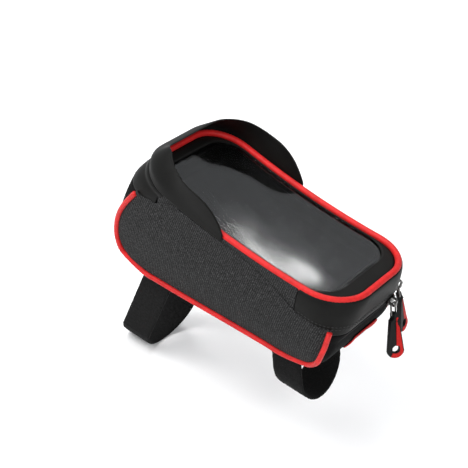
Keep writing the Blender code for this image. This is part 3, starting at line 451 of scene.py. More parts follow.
def grains(line, size, centre):
    """Small rounded grains laid along a line; centre(a, b) places one between two points."""
    bm = bmesh.new()
    for a, b in zip(line, line[1:]):
        made = bmesh.ops.create_icosphere(bm, subdivisions=1, radius=1.0)
        bmesh.ops.scale(bm, vec=size, verts=made["verts"])
        turn = (b - a).to_track_quat("X", "Z").to_matrix()
        bmesh.ops.rotate(bm, cent=(0, 0, 0), matrix=turn, verts=made["verts"])
        bmesh.ops.translate(bm, vec=centre(a, b), verts=made["verts"])
    return bm


def finish_piece(name, bm, material, body, nodes=(), smooth_levels=0):
    """Turn a bmesh in millimetres into a named piece on its body."""
    bmesh.ops.recalc_face_normals(bm, faces=bm.faces)
    bmesh.ops.scale(bm, vec=(MM, MM, MM), verts=bm.verts)
    mesh = bpy.data.meshes.new(name)
    bm.to_mesh(mesh)
    bm.free()
    mesh.shade_smooth()
    mesh.materials.append(material)
    piece = bpy.data.objects.new(name, mesh)
    bpy.context.scene.collection.objects.link(piece)
    if smooth_levels:
        subdivide(piece, smooth_levels)
    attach(piece, body)
    if nodes:
        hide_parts(*nodes)
    return piece


def refinish(node, material):
    """Give a CAD node that keeps its shape a better material."""
    materials = bpy.data.objects[node].data.materials
    materials.clear()
    materials.append(finish(material))


# Materials

class Shader:
    """A Principled material with short calls for its nodes."""

    def __init__(self, name, roughness=0.7, colour=(0.05, 0.05, 0.05)):
        self.material = bpy.data.materials.new(name)
        self.material.use_nodes = True
        self.tree = self.material.node_tree
        self.principled = self.tree.nodes["Principled BSDF"]
        self.principled.inputs["Roughness"].default_value = roughness
        self.principled.inputs["Base Color"].default_value = (*colour, 1.0)
        self.coords = self.tree.nodes.new("ShaderNodeTexCoord")

    def node(self, kind, inputs=None, **values):
        """Add a node; inputs are values or sockets, and the rest are its own settings."""
        made = self.tree.nodes.new(kind)
        for key, value in values.items():
            setattr(made, key, value)
        for key, value in (inputs or {}).items():
            if isinstance(value, bpy.types.NodeSocket):
                self.tree.links.new(value, made.inputs[key])
            else:
                made.inputs[key].default_value = value
        return made

    def place(self, source, scale=(1, 1, 1), turn=(0, 0, 0)):
        """Pattern coordinates from the object or from the cloth's own map."""
        return self.node("ShaderNodeMapping", {"Vector": self.coords.outputs[source],
                                               "Scale": scale, "Rotation": turn}).outputs[0]

    def grain(self, vector, scale, detail=3.0, rough=0.6):
        """Noise from 0 to 1."""
        return self.node("ShaderNodeTexNoise", {"Vector": vector, "Scale": scale, "Detail": detail,
                                                "Roughness": rough}).outputs["Fac"]

    def bands(self, vector, scale, direction="X", distortion=0.0):
        """Soft stripes from 0 to 1."""
        wave = self.node("ShaderNodeTexWave", {"Vector": vector, "Scale": scale,
                                               "Distortion": distortion, "Detail": 1.0},
                         bands_direction=direction)
        return wave.outputs["Fac"]

    def math(self, operation, a, b=0.0):
        """One calculation with two values or sockets."""
        return self.node("ShaderNodeMath", {0: a, 1: b}, operation=operation).outputs[0]

    def ramp(self, value, stops):
        """Colours along a value; each stop is (place, colour)."""
        made = self.node("ShaderNodeValToRGB", {"Fac": value})
        ramp = made.color_ramp
        while len(ramp.elements) < len(stops):
            ramp.elements.new(0.5)
        for element, (place, colour) in zip(ramp.elements, stops):
            element.position = place
            element.color = (*colour, 1.0)
        return made.outputs["Color"]

    def colour(self, socket):
        """Take the base colour from a socket."""
        self.tree.links.new(socket, self.principled.inputs["Base Color"])

    def roughness(self, value, low, high):
        """Let the roughness follow a value between two limits."""
        spread = self.node("ShaderNodeMapRange", {"Value": value, "To Min": low, "To Max": high})
        self.tree.links.new(spread.outputs[0], self.principled.inputs["Roughness"])

    def bump(self, *layers):
        """Relief from (height, strength, depth in metres) layers."""
        normal = None
        for height, strength, depth in layers:
            inputs = {"Height": height, "Strength": strength, "Distance": depth}
            if normal is not None:
                inputs["Normal"] = normal
            normal = self.node("ShaderNodeBump", inputs).outputs[0]
        self.tree.links.new(normal, self.principled.inputs["Normal"])

    def set(self, **values):
        """Set the shader's own sockets by name."""
        for key, value in values.items():
            self.principled.inputs[key.replace("_", " ")].default_value = value


def heather_material():
    """Charcoal heather: pale and dark fibres woven fine and even, with a faint diagonal."""
    made = Shader("heather twill", 0.9)
    along_warp = made.grain(made.place("Object", (1.0, 1.0, 3.0), (0.0, radians(38.0), 0.0)),
                            760.0, 3.0, 0.8)
    along_weft = made.grain(made.place("Object", (2.6, 1.0, 1.0), (0.0, radians(38.0), 0.0)),
                            820.0, 3.0, 0.8)
    ribs = made.bands(made.place("Object", (1.0, 1.0, 1.0), (0.0, radians(-10.0), 0.0)), 210.0,
                      "X", 2.0)
    blend = made.math("ADD", made.math("MULTIPLY", along_warp, 0.5),
                      made.math("ADD", made.math("MULTIPLY", along_weft, 0.42),
                                made.math("MULTIPLY", ribs, 0.08)))
    dark, pale = colour("heather_dark"), colour("heather_pale")
    made.colour(made.ramp(blend, ((0.4, dark), (0.49, shade(dark, 2.6)), (0.56, shade(pale, 0.42)),
                                  (0.64, pale))))
    made.bump((ribs, 0.3, 0.00015), (along_warp, 0.5, 0.0002), (along_weft, 0.4, 0.00015))
    made.set(Sheen_Weight=0.015, Sheen_Roughness=0.5, Specular_IOR_Level=0.07)
    return made.material


def lining_material():
    """Plain black woven cloth."""
    made = Shader("black lining", 0.8)
    across = made.bands(made.place("UV"), 90.0, "X")
    down = made.bands(made.place("UV"), 90.0, "Y")
    tone = made.grain(made.place("Object"), 140.0, 4.0)
    made.colour(made.ramp(tone, ((0.3, shade(colour("lining"), 0.5)), (0.7, colour("lining")))))
    made.bump((across, 0.12, 0.00005), (down, 0.12, 0.00005), (tone, 0.2, 0.0003))
    made.set(Sheen_Weight=0.005, Sheen_Roughness=0.4, Specular_IOR_Level=0.05)
    return made.material


def coated_material():
    """Black coated cloth: satin, with a fine leather-like grain and soft scuffs."""
    made = Shader("coated black", 0.42)
    pores = made.node("ShaderNodeTexVoronoi", {"Vector": made.place("Object"), "Scale": 1500.0})
    scuffs = made.grain(made.place("Object"), 45.0, 5.0, 0.65)
    made.colour(made.ramp(scuffs, ((0.3, shade(colour("coated"), 0.55)), (0.7, colour("coated")))))
    made.roughness(scuffs, 0.42, 0.56)
    made.bump((pores.outputs["Distance"], 0.12, 0.00006), (scuffs, 0.15, 0.0006))
    made.set(Specular_IOR_Level=0.09)
    return made.material


def piping_material():
    """Red piping cloth over a cord, finely ribbed."""
    made = Shader("red piping", 0.5)
    threads = made.bands(made.place("UV"), 75.0, "X", 0.6)
    tone = made.grain(made.place("Object"), 220.0, 4.0)
    made.colour(made.ramp(tone, ((0.3, shade(colour("piping"), 0.68)), (0.7, colour("piping")))))
    made.bump((threads, 0.12, 0.0001), (tone, 0.2, 0.0002))
    made.set(Sheen_Weight=0.02, Specular_IOR_Level=0.22)
    return made.material


def webbing_material(name, pile):
    """Black webbing: ribbed tape, with a looped pile where it is fluffy."""
    made = Shader(name, 0.9)
    ribs = made.bands(made.place("UV"), 60.0, "Y")
    weave = made.bands(made.place("UV"), 90.0, "X", 0.5)
    loops = made.grain(made.place("Object"), 1100.0 if pile else 500.0, 6.0, 0.8)
    tone = colour("webbing")
    made.colour(made.ramp(loops, ((0.35, shade(tone, 0.3)), (0.6, tone),
                                  (0.75, shade(tone, 3.6 if pile else 1.5)))))
    made.bump((ribs, 0.1 if pile else 0.3, 0.0001), (weave, 0.1 if pile else 0.25, 0.0001),
              (loops, 0.9 if pile else 0.3, 0.0004 if pile else 0.0001))
    made.set(Sheen_Weight=0.02, Specular_IOR_Level=0.08)
    return made.material


def film_material():
    """Clear flexible film."""
    made = Shader("clear film", 0.06, (0.95, 0.97, 0.98))
    waves = made.grain(made.place("Object"), 25.0, 2.0)
    made.bump((waves, 0.04, 0.0007))
    made.set(Transmission_Weight=1.0, IOR=1.4, Specular_IOR_Level=0.6)
    return made.material


def rubber_material(name, tone):
    """Moulded rubber with a fine matt grain."""
    made = Shader(name, 0.6)
    grain = made.grain(made.place("Object"), 900.0, 3.0)
    made.colour(made.ramp(grain, ((0.3, shade(tone, 0.75)), (0.7, tone))))
    made.bump((grain, 0.15, 0.00006))
    made.roughness(grain, 0.5, 0.68)
    made.set(Specular_IOR_Level=0.16)
    return made.material


def metal_material():
    """Dark plated zinc with fine brushing."""
    made = Shader("plated zinc", 0.25)
    brushing = made.grain(made.place("Object", (1.0, 1.0, 8.0)), 1200.0, 3.0)
    made.colour(made.ramp(brushing, ((0.3, shade(colour("metal"), 0.38)), (0.7, colour("metal")))))
    made.roughness(brushing, 0.16, 0.34)
    made.set(Metallic=1.0)
    return made.material


def thread_material(name, tone):
    """Twisted sewing thread."""
    made = Shader(name, 0.7)
    twist = made.grain(made.place("Object"), 2500.0, 2.0)
    made.colour(made.ramp(twist, ((0.3, shade(tone, 0.6)), (0.7, tone))))
    return made.material


def stage_material():
    """Pale matt floor with a faint mottle."""
    made = Shader("studio floor", 0.9)
    tone = made.grain(made.place("Object"), 3.0, 2.0)
    made.colour(made.ramp(tone, ((0.2, (0.95, 0.95, 0.95)), (0.8, (0.97, 0.97, 0.97)))))
    return made.material


FINISHES = {}


def finish(name):
    """A shared material, made on first use."""
    makers = {
        "heather": heather_material,
        "lining": lining_material,
        "coated": coated_material,
        "piping": piping_material,
        "webbing": lambda: webbing_material("plain webbing", False),
        "pile": lambda: webbing_material("looped webbing", True),
        "film": film_material,
        "rubber": lambda: rubber_material("puller rubber", colour("rubber")),
        "red rubber": lambda: rubber_material("red rubber", colour("red_rubber")),
        "pad": lambda: rubber_material("pad rubber", shade(colour("rubber"), 1.3)),
        "metal": metal_material,
        "thread": lambda: thread_material("black thread", shade(colour("webbing"), 1.6)),
    }
    if name not in FINISHES:
        FINISHES[name] = makers[name]()
    return FINISHES[name]


# Wall and tub surfaces

def wall_section(thickness, profile):
    """Closed section of a padded wall: (outwards, share of height) pairs, from the foot up."""
    half = thickness / 2
    outer_steps, inner_steps = 14, 5
    turns = (30.0, 60.0, 90.0, 120.0, 150.0)

    def rolled(turns, edge, rise):
        """The wall's rounded edge."""
        return [(-half + half * cos(radians(turn)), edge + rise * sin(radians(turn)))
                for turn in turns]

    section = [(profile(step / outer_steps), step / outer_steps)
               for step in range(outer_steps + 1)]
    section += rolled(turns, 1.0, WALL_ROLL)
    section += [(-thickness, 1.0 - step / inner_steps) for step in range(inner_steps + 1)]
    return section + rolled(turns[::-1], 0.0, -WALL_ROLL)


def wall_height(x, up, lower=0.0):
    """Height of a point of the lid's wall, from its foot (0) to the piping (1)."""
    foot = wall_foot(x) - lower
    return foot + up * (rim_height(x) - PIPING * 0.55 - foot)


def band_point(end, start, share, up, out, lower):
    """A point of a band round the front or the rear of the lid."""
    point, outward = route(wall_plan(min(max(up, 0.0), 1.0)), share, end, start)
    place = point + outward * out
    return Vector((place.x, place.y, wall_height(point.x, up, lower)))


def tub_top(x):
    """Height of the tub's upper edge, raised to just under the zip's line."""
    opening = smooth((x - FRONT_NOTCH + NOTCH_RUN) / NOTCH_RUN)
    return body_top(x) + LIP_REACH * opening


def tub_swell(level):
    """How far the tub's belly and stern swell at a level."""
    return TUB_SWELL * sin(pi * level) ** TUB_SWELL_FORM


def tub_point(share, level, out, floor=BODY_FOOT):
    """A point on the tub: round its outline, up its height and outwards."""
    point, outward = ring(body_plan(level), share)
    swell = tub_swell(level) * outward.x ** 2 if out >= 0.0 else 0.0
    place = point + outward * (out + swell)
    return Vector((place.x, place.y, floor + level * (tub_top(point.x) - floor)))


def tub():
    """Padded tub: floor, sides, belly and stern in one closed skin."""
    floor = BODY_FOOT + SHELL_THICKNESS
    half = SHELL_THICKNESS / 2
    columns, outer_rows, inner_rows, edge_rise = 132, 26, 10, 0.5
    base_steps = (0.0, 0.35, 0.7, 0.92)
    rows = [("base", share) for share in base_steps]
    rows += [("outer", (step / outer_rows) ** 1.3) for step in range(outer_rows + 1)]
    rows += [("roll", turn) for turn in (45.0, 90.0, 135.0)]
    rows += [("inner", 1.0 - step / inner_rows) for step in range(inner_rows + 1)]
    rows += [("floor", share) for share in reversed(base_steps)]

    def place(i, j):
        kind, value = rows[j]
        share = i / columns
        if kind == "outer":
            return tub_point(share, value, 0.0)
        if kind == "inner":
            return tub_point(share, value, -SHELL_THICKNESS, floor)
        if kind == "roll":
            point = tub_point(share, 1.0, -half + half * cos(radians(value)) - 0.0001)
            point.z += edge_rise * sin(radians(value))
            return point
        inset, height = (0.0, BODY_FOOT) if kind == "base" else (-SHELL_THICKNESS, floor)
        point = tub_point(share, 0.0, inset, height)
        return Vector((point.x, point.y * value, point.z))

    bm = skin(columns, len(rows) - 1, place, wrap_along=True)
    piece = finish_piece("tub", bm, finish("lining"), "case", ("body_shell",),
                         smooth_levels=1)
    refinish("base_pad", "pad")


# Side panels

def flap_height(x, side):
    """How far the flap stands over the body's edge; lower behind the right side's zip run."""
    return along(LEFT_FLAP if side < 0 else RIGHT_FLAP, x)


def panel_end(level, end, side):
    """Where a side panel's cloth runs in under the piping."""
    lowest, under = 0.1, end * 0.6
    if level >= lowest:
        return piping_point(level, end, side).x + under
    low = BASE_REAR - EDGE_CORNER - 2.0 if end > 0 else BASE_FRONT + EDGE_CORNER
    return low + (piping_point(lowest, end, side).x + under - low) * sqrt(level / lowest)


def panel_point(i, j, side, out):
    """A point of the side panel's cloth; the last rows are the flap over the zip."""
    share = i / PANEL_COLUMNS
    spread = 0.5 - 0.5 * cos(pi * share)
    share = (1.0 - PANEL_SPREAD) * share + PANEL_SPREAD * spread
    level = 0.01 + 0.99 * min(j / PANEL_ROWS, 1.0)
    x0, x1 = panel_end(level, -1, side), panel_end(level, 1, side)
    x = x0 + (x1 - x0) * share
    if j <= PANEL_ROWS:
        z = BODY_FOOT + level * (body_top(x) - BODY_FOOT)
        z += foot_tilt(x) * (1.0 - smooth(level / 0.5)) - FOOT_DROP * (1.0 - smooth(level / 0.1))
        return side_point(body_plan(level), x, z, out, side)
    rise = (j - PANEL_ROWS) / FLAP_ROWS
    z = body_top(x) + (flap_height(x, side) + 0.5) * rise
    wall = max((z - wall_foot(x)) / (rim_height(x) - wall_foot(x)), 0.0)
    flare = wall_plan(min(wall, 1.0))[2] - TOP_HALF
    tuck = 0.4 * smooth((rise - 0.5) / 0.5)
    return side_point(wall_plan(0.0), x, z, out + flare - tuck, side)


def belly(piece, side, reach):
    """Let the cloth belly out between its sewn edges with a short cloth simulation."""
    mesh = piece.data
    frames = 20
    rest = [vert.co.copy() for vert in mesh.vertices]
    group = piece.vertex_groups.new(name="sewn")
    faces = {}
    for polygon in mesh.polygons:
        for pair in polygon.edge_keys:
            faces[pair] = faces.get(pair, 0) + 1
    edge = {index for pair, count in faces.items() if count < 2 for index in pair}
    group.add(sorted(edge), 1.0, "REPLACE")
    scene = bpy.context.scene
    gravity = tuple(scene.gravity)
    scene.gravity = (0.0, side * 9.0, -3.0)
    cloth = piece.modifiers.new("cloth", "CLOTH")
    cloth.settings.quality = 5
    cloth.settings.mass = 0.25
    cloth.settings.tension_stiffness = cloth.settings.compression_stiffness = 12.0
    cloth.settings.bending_stiffness = 0.6
    cloth.settings.vertex_group_mass = "sewn"
    cloth.settings.shrink_min = -0.012
    cloth.point_cache.frame_start, cloth.point_cache.frame_end = 1, frames
    for step in range(1, frames + 1):
        scene.frame_set(step)
    graph = bpy.context.evaluated_depsgraph_get()
    moved = [vert.co.copy() for vert in piece.evaluated_get(graph).data.vertices]
    piece.modifiers.clear()
    piece.vertex_groups.clear()
    scene.frame_set(1)
    scene.gravity = gravity
    furthest = max((b - a).length for a, b in zip(rest, moved))
    scale = min(1.0, reach * MM / max(furthest, 1e-9))
    for vert, a, b in zip(mesh.vertices, rest, moved):
        shift = (b - a) * scale
        inwards = min(shift.y * side, 0.0)
        shift.y -= inwards * side
        vert.co = a + shift
    mesh.update()


def side_panels():
    """Two heather panels whose upper edges stand up over the zip as flaps."""
    for name, side, node in (("left_panel", -1, "left_side_panel"),
                             ("right_panel", 1, "right_side_panel")):
        bm = skin(PANEL_COLUMNS, PANEL_ROWS + FLAP_ROWS,
                  lambda i, j, side=side: panel_point(i, j, side, PANEL_OFFSET))
        piece = finish_piece(name, bm, finish("heather"), "case", (node,))
        belly(piece, side, size("belly"))
        outward(piece, Vector((0.0, side, 0.0)))
        thicken(piece, size("cloth"))
        subdivide(piece, 1)


def outward(piece, way):
    """Turn an open sheet's faces to look out of the bag."""
    mesh = piece.data
    if sum(polygon.normal.dot(way) * polygon.area for polygon in mesh.polygons) < 0:
        mesh.flip_normals()


def thicken(piece, thickness):
    """Cloth thickness, grown inwards from the outer face."""
    solid = piece.modifiers.new("thickness", "SOLIDIFY")
    solid.thickness = thickness * MM
    solid.offset = -1.0
    solid.use_even_offset = False


def subdivide(piece, levels):
    """Smooth a piece with live subdivision."""
    rounding = piece.modifiers.new("smooth", "SUBSURF")
    rounding.levels = rounding.render_levels = levels


# Piping

def lower_piping_path(side):
    """Centre line of a side panel's piping: down the front corner, along the foot and up again."""
    path = [piping_point(level, -1, side) for level in PIPING_LEVELS]
    offset = LOWER_PIPING + 2 * GAP
    start, stop, steps = BASE_FRONT + EDGE_CORNER, BASE_REAR - EDGE_CORNER - 4.0, 10
    for step in range(steps + 1):
        x = start + (stop - start) * step / steps
        height = BODY_FOOT - FOOT_DROP + foot_tilt(x)
        path.append(side_point(body_plan(0.0), x, height, offset, side))
    top = 1.0 if side < 0 else RIGHT_PIPING_TOP
    path += [piping_point(level, 1, side) for level in reversed(PIPING_LEVELS) if level <= top]
    if side < 0:
        last = path[-1]
        path += [last + Vector((0.2, 0.0, 3.5)), last + Vector((0.3, 0.0, 7.0))]
    return path


def eased(path, rounds):
    """A path with its kinks drawn out; its ends stay."""
    for _ in range(rounds):
        path = ([path[0]] + [(a + 2 * b + c) / 4 for a, b, c in zip(path, path[1:], path[2:])]
                + [path[-1]])
    return path


def pipings():
    """Red piping round the side panels and round the window."""
    for side_name, side in (("left", -1), ("right", 1)):
        path = eased(resample(lower_piping_path(side), 0.9), 30)
        bm = tube(path, LOWER_PIPING, 14, wrinkle=0.05, pitch=2.2)
        finish_piece(side_name + "_foot_piping", bm, finish("piping"), "case",
                     (side_name + "_lower_piping",))
    steps = 96
    path = [saddle(RIM_PLAN, step / steps, 0.0) for step in range(steps)]
    bm = tube(resample(path, 1.0, closed=True), PIPING, 16, closed=True, wrinkle=0.04, pitch=2.6)
    finish_piece("rim_piping", bm, finish("piping"), "lid", ("window_piping",))


# Lid

def front_profile(share):
    """The front band bulges below a rolled fold near its top."""
    fold = 0.74
    low = 0.75 * sin(pi * min(share / fold, 1.0)) ** 0.8
    high = 0.85 * sin(pi * min(max((share - fold) / (1.0 - fold), 0.0), 1.0)) ** 0.7
    return low + high


def rear_profile(share):
    """The rear band is full in the middle and drawn in at its sewn edge."""
    return 0.9 * sin(pi * min(max((share - 0.06) / 0.94, 0.0), 1.0)) ** 0.55


def strip_profile(share):
    """The strips are nearly flat."""
    return 0.25 * sin(pi * share)


def band(name, end, start, lower, profile, node):
    """A coated band round one end of the lid."""
    section = wall_section(WALL_THICKNESS, profile)
    columns = 110

    def place(i, j):
        out, up = section[j % len(section)]
        share = i / columns
        point = band_point(end, start, share, up, out, lower)
        if out > -WALL_THICKNESS / 2:
            crease = sum(depth * noise.noise(Vector((point.x * fine, point.y * fine,
                                                     point.z * upward)))
                         for fine, upward, depth in WALL_CREASES)
            point += (point - band_point(end, start, share, up, out - 1.0, lower)) * crease
        return point

    piece = finish_piece(name, sleeve(columns, len(section), place), finish("coated"), "lid",
                         (node,), smooth_levels=1)


def strip(name, side, node):
    """A heather strip along one side of the lid."""
    section = wall_section(WALL_THICKNESS, strip_profile)
    columns = 70

    def place(i, j):
        out, up = section[j % len(section)]
        x = FRONT_NOTCH + (REAR_NOTCH - FRONT_NOTCH) * i / columns
        plan = wall_plan(min(max(up, 0.0), 1.0))
        return side_point(plan, x, wall_height(x, up), out, side)

    piece = finish_piece(name, sleeve(columns, len(section), place), finish("heather"), "lid",
                         (node,), smooth_levels=1)


def seam(name, points, body, share=1.0):
    """One row of stitches: small grains of thread lying along a line on a body."""
    length, radius = size("stitch") * share, size("thread") * share
    bm = grains(resample(points, size("stitch_gap") * share), (length / 2, radius, radius),
                lambda a, b: (a + b) / 2)
    finish_piece(name, bm, finish("thread"), body, ())


def lid_walls():
    """Front and rear bands, the heather strips between them and the rear band's stitching."""
    band("front_wall", -1, FRONT_NOTCH, 0.3, front_profile, "front_band")
    band("rear_wall", 1, REAR_NOTCH, LIP_REACH, rear_profile, "rear_band")
    strip("left_lid_strip", -1, "left_rim_strip")
    strip("right_lid_strip", 1, "right_rim_strip")
    for name, up in (("rear_seam_1", 0.18), ("rear_seam_2", 0.27)):
        line = [band_point(1, REAR_NOTCH, step / 60, up, rear_profile(up) + 0.12, LIP_REACH)
                for step in range(1, 60)]
        seam(name, line, "lid")


# Window

def saddle(plan, share, drop):
    """A point on an outline that follows the rim's height."""
    point, _ = ring(plan, share)
    return Vector((point.x, point.y, rim_height(point.x) - drop))


FILM_PLAN = inset_plan(RIM_PLAN, PIPING + GAP)
FILM_DROP, FILM_THICKNESS, FILM_SAG, FILM_WAVE = 1.75, 0.7, 0.4, 0.1
BORDER_PLAN = (-82.0, 75.0, 43.8, 22.0)
BORDER_DROP, BORDER_SEAM_DROP = 0.45, 0.4
POCKET_PLAN = (-81.5, 90.5, 43.5, 20.0)
POCKET_DEPTH, POCKET_MOUTH, FRAME_THICKNESS = 12.5, 64.0, 3.0
POCKET_TOP = PIPING + GAP + FRAME_THICKNESS + GAP

# The border's section: shares of the way from the film's edge inwards, and depths
BORDER_SECTION = ((0.0, 0.95), (0.0, 0.35), (0.12, 0.08), (0.35, 0.0), (0.65, 0.02),
                  (0.88, 0.1), (1.0, 0.35), (1.0, 0.9), (0.6, 1.05), (0.3, 1.05))


def clear_film():
    """Clear film of even thickness that sags a little between its edges."""
    columns, rings = 120, 10
    rows = [(step / rings, 0.0) for step in range(rings + 1)]
    rows += [(step / rings, FILM_THICKNESS) for step in range(rings, -1, -1)]

    def place(i, j):
        width, depth = rows[j]
        point = saddle(FILM_PLAN, i / columns, 0.0)
        wave = noise.noise(Vector((point.x * 0.03, point.y * width * 0.05, 0.7)))
        sag = FILM_SAG * (1.0 - width ** 2) + FILM_WAVE * wave * (1.0 - width ** 4)
        return Vector((point.x, point.y * width, rim_height(point.x) - FILM_DROP - depth - sag))

    bm = skin(columns, len(rows) - 1, place, wrap_along=True)
    finish_piece("clear_window", bm, finish("film"), "lid", ("window_film",),
                 smooth_levels=1)


def window_border():
    """Black border round the film, with its row of stitches, and the board under it."""
    columns, seam_steps = 140, 90

    def place(i, j):
        share, depth = BORDER_SECTION[j % len(BORDER_SECTION)]
        outer = saddle(FILM_PLAN, i / columns, 0.0)
        point = outer.lerp(saddle(BORDER_PLAN, i / columns, 0.0), share)
        return Vector((point.x, point.y, rim_height(point.x) - BORDER_DROP - depth))

    bm = sleeve(columns, len(BORDER_SECTION), place, closed=True)
    finish_piece("window_edge", bm, finish("coated"), "lid", ("window_border",),
                 smooth_levels=1)
    line = [saddle(BORDER_PLAN, step / seam_steps, 0.0) for step in range(seam_steps)]
    line = [Vector((p.x * 1.012, p.y * 1.03, rim_height(p.x) - BORDER_SEAM_DROP)) for p in line]
    seam("border_seam", line + line[:1], "lid", 0.85)
    refinish("lid_frame", "lining")


def cloth_tray():
    """Cloth tray under the film, open to the rear, with a slack floor."""
    columns, floor_steps = 100, 10
    rows = [(1.0, depth) for depth in (0.0, 0.25, 0.5, 0.75, 0.93)]
    rows += [(1.0 - step / floor_steps, 1.0) for step in range(floor_steps + 1)]

    def place(i, j):
        width, depth = rows[j]
        inset = 1.0 if depth < 0.9 else 2.2 if depth < 0.97 else 3.4
        point, _ = route(inset_plan(POCKET_PLAN, inset), i / columns, -1, POCKET_MOUTH)
        sag = 0.7 * noise.noise(Vector((point.x * 0.04, point.y * width * 0.06, 2.0)))
        z = rim_height(point.x) - POCKET_TOP - depth * (POCKET_DEPTH - 1.0)
        return Vector((point.x, point.y * width, z + sag * (1.0 - width)))

    bm = skin(columns, len(rows) - 1, place)
    bmesh.ops.remove_doubles(bm, verts=bm.verts, dist=MERGE)
    piece = finish_piece("phone_tray", bm, finish("lining"), "lid", ("phone_pocket",))
    thicken(piece, 0.9)
    subdivide(piece, 1)


def window():
    """Clear film, its black border, the board under it and the tray."""
    clear_film()
    window_border()
    cloth_tray()


# Visor

def visor():
    """Sheet that stands round the front of the window, with a rounded, sewn edge."""
    columns, steps = 150, 16
    section = [(step / steps, 1.0) for step in range(steps + 1)]
    section += [(1.012, 0.85), (1.017, 0.5), (1.012, 0.15)]
    section += [(1.0 - step / steps, 0.0) for step in range(steps + 1)]
    plan = inset_plan(RIM_PLAN, -(PIPING + GAP))

    def place(i, j):
        up, skin_share = section[j % len(section)]
        point, out_way = route(plan, i / columns, -1, VISOR_END)
        base = rim_height(point.x) - PIPING
        height = along(VISOR_HEIGHTS, point.x) + PIPING
        upright = min((2 * PIPING + GAP) / height, 0.9)
        bend = max((up - upright) / (1.0 - upright), 0.0) ** 1.4
        wave = 0.5 * noise.noise(Vector((point.x * 0.035, point.y * 0.035, up * 1.2)))
        out = along(VISOR_LEANS, point.x) * bend + wave * bend + size("visor") * skin_share
        spot = point + out_way * out
        return Vector((spot.x, spot.y, base + height * up))

    finish_piece("sun_visor", sleeve(columns, len(section), place), finish("coated"), "lid",
                 ("visor",), smooth_levels=1)


# Zip

def reach_along(plan, out):
    """How far a rounded rectangle reaches in a direction."""
    _, rear, half, corner = plan
    return (rear - corner) * abs(out.x) + (half - corner) * abs(out.y) + corner


def root_draw(height, x, out, upward):
    """How far a tape's root lies inwards of its edge at the zip."""
    if upward > 0:
        floor = BODY_FOOT + SHELL_THICKNESS
        plan = body_plan((height - floor) / (body_top(x) - floor))
    else:
        plan = wall_plan((height - wall_foot(x)) / (rim_height(x) - wall_foot(x)))
    return max(reach_along(wall_plan(0.0), out) - reach_along(plan, out), 0.0)


TAPE_PLAN = inset_plan(wall_plan(0.0), WALL_THICKNESS + GAP)
TAPE_EDGE, TAPE_THICKNESS = 0.9, 1.0
ZIP_START = FRONT_NOTCH + 5.0
TOOTH_SIZE, TOOTH_SHIFT = (0.5, 0.75, 1.15), 0.55


def zip_tape(name, upward, body, node):
    """One tape of the zip with its coil of small teeth."""
    shares = (0.0, 0.25, 0.5, 0.75, 1.0)
    section = [(share, 0.0) for share in shares] + [(share, 1.0) for share in reversed(shares)]
    columns, line_steps = 150, 239

    def place(i, j):
        across, depth = section[j % len(section)]
        point, out = route(TAPE_PLAN, i / columns, 1, ZIP_START)
        middle = zip_height(point.x)
        edge = middle - upward * TAPE_EDGE
        root = middle - upward * (ZIP_HALF_GAP + TAPE_OVERLAP)
        drawn = root_draw(root, point.x, out, upward) * across
        spot = point - out * (drawn + TAPE_THICKNESS * depth)
        return Vector((spot.x, spot.y, edge + (root - edge) * across))

    finish_piece(name + "_cloth", sleeve(columns, len(section), place), finish("webbing"), body,
                 (node,))
    line = []
    for step in range(line_steps + 1):
        point, out = route(TAPE_PLAN, step / line_steps, 1, ZIP_START)
        line.append(Vector((point.x - out.x * 0.5, point.y - out.y * 0.5, zip_height(point.x))))
    shift = Vector((0.0, 0.0, -TOOTH_SHIFT * upward))
    bm = grains(resample(line, size("tooth")), TOOTH_SIZE,
                lambda a, b: (a if upward > 0 else a.lerp(b, 0.5)) + shift)
    finish_piece(name + "_teeth", bm, finish("rubber"), body, ())


def zip_closure():
    """Both zip tapes with their teeth, and the metal stops."""
    zip_tape("lower_tape", 1, "case", "lower_zip_tape")
    zip_tape("upper_tape", -1, "lid", "upper_zip_tape")
    refinish("left_zip_stop", "metal")
    refinish("right_zip_stop", "metal")


# Sliders, loops and pullers

SLIDER_STAND, SLIDER_PLATE, BRIDGE_RISE = 0.6, 1.4, 4.4
BRIDGE_THICKNESS, BRIDGE_LENGTH = 1.4, 7.6
LOOP_WIRE, LOOP_WIDTH, LOOP_LENGTH, LOOP_CORNER = 0.7, 6.0, 9.0, 1.0
PIN_OUT = SLIDER_STAND + SLIDER_PLATE + (BRIDGE_RISE - BRIDGE_THICKNESS) / 2
PIN_DROP = -(BRIDGE_LENGTH / 2 - BRIDGE_THICKNESS - LOOP_WIRE - GAP)
NEAR_SLIDER_Y, FAR_SLIDER_ANGLE = 25.5, radians(48.0)
HANGS = {"near": radians(20.0), "far": radians(17.0)}
SWINGS = {"near": 0.0, "far": radians(4.0)}
TONGUE_REACH, TONGUE_HALF = 0.5, 0.45

# Pullers: how far each is twisted in its loop, and how its outline differs from the plain one
GRIP_TURN, GRIP_SPREAD, GRIP_SHARE, GRIP_SLIMMING = radians(42.0), 1.12, 0.88, 0.2
HOLE_HEIGHT, HOLE_REACH, HOLE_NARROWING, HOLE_STRETCH = -32.0, 3.4, 0.86, 1.25
RED_TOP, RED_RISE, RED_SHOULDER, RED_WIDTH = -9.0, 3.9, 2.4, 0.9


def slider_matrix(name):
    """Axes of a slider in millimetres: x outwards, y along the zip, z up."""
    if name == "near":
        place, out = Vector((TOP_REAR, NEAR_SLIDER_Y)), Vector((1.0, 0.0))
    else:
        out = Vector((cos(FAR_SLIDER_ANGLE), sin(FAR_SLIDER_ANGLE)))
        place = Vector((TOP_REAR - TOP_CORNER, TOP_HALF - TOP_CORNER)) + out * TOP_CORNER
    height = zip_height(place.x - (WALL_THICKNESS + GAP) * out.x)
    return Matrix(((out.x, -out.y, 0.0, place.x), (out.y, out.x, 0.0, place.y),
                   (0.0, 0.0, 1.0, height), (0.0, 0.0, 0.0, 1.0)))


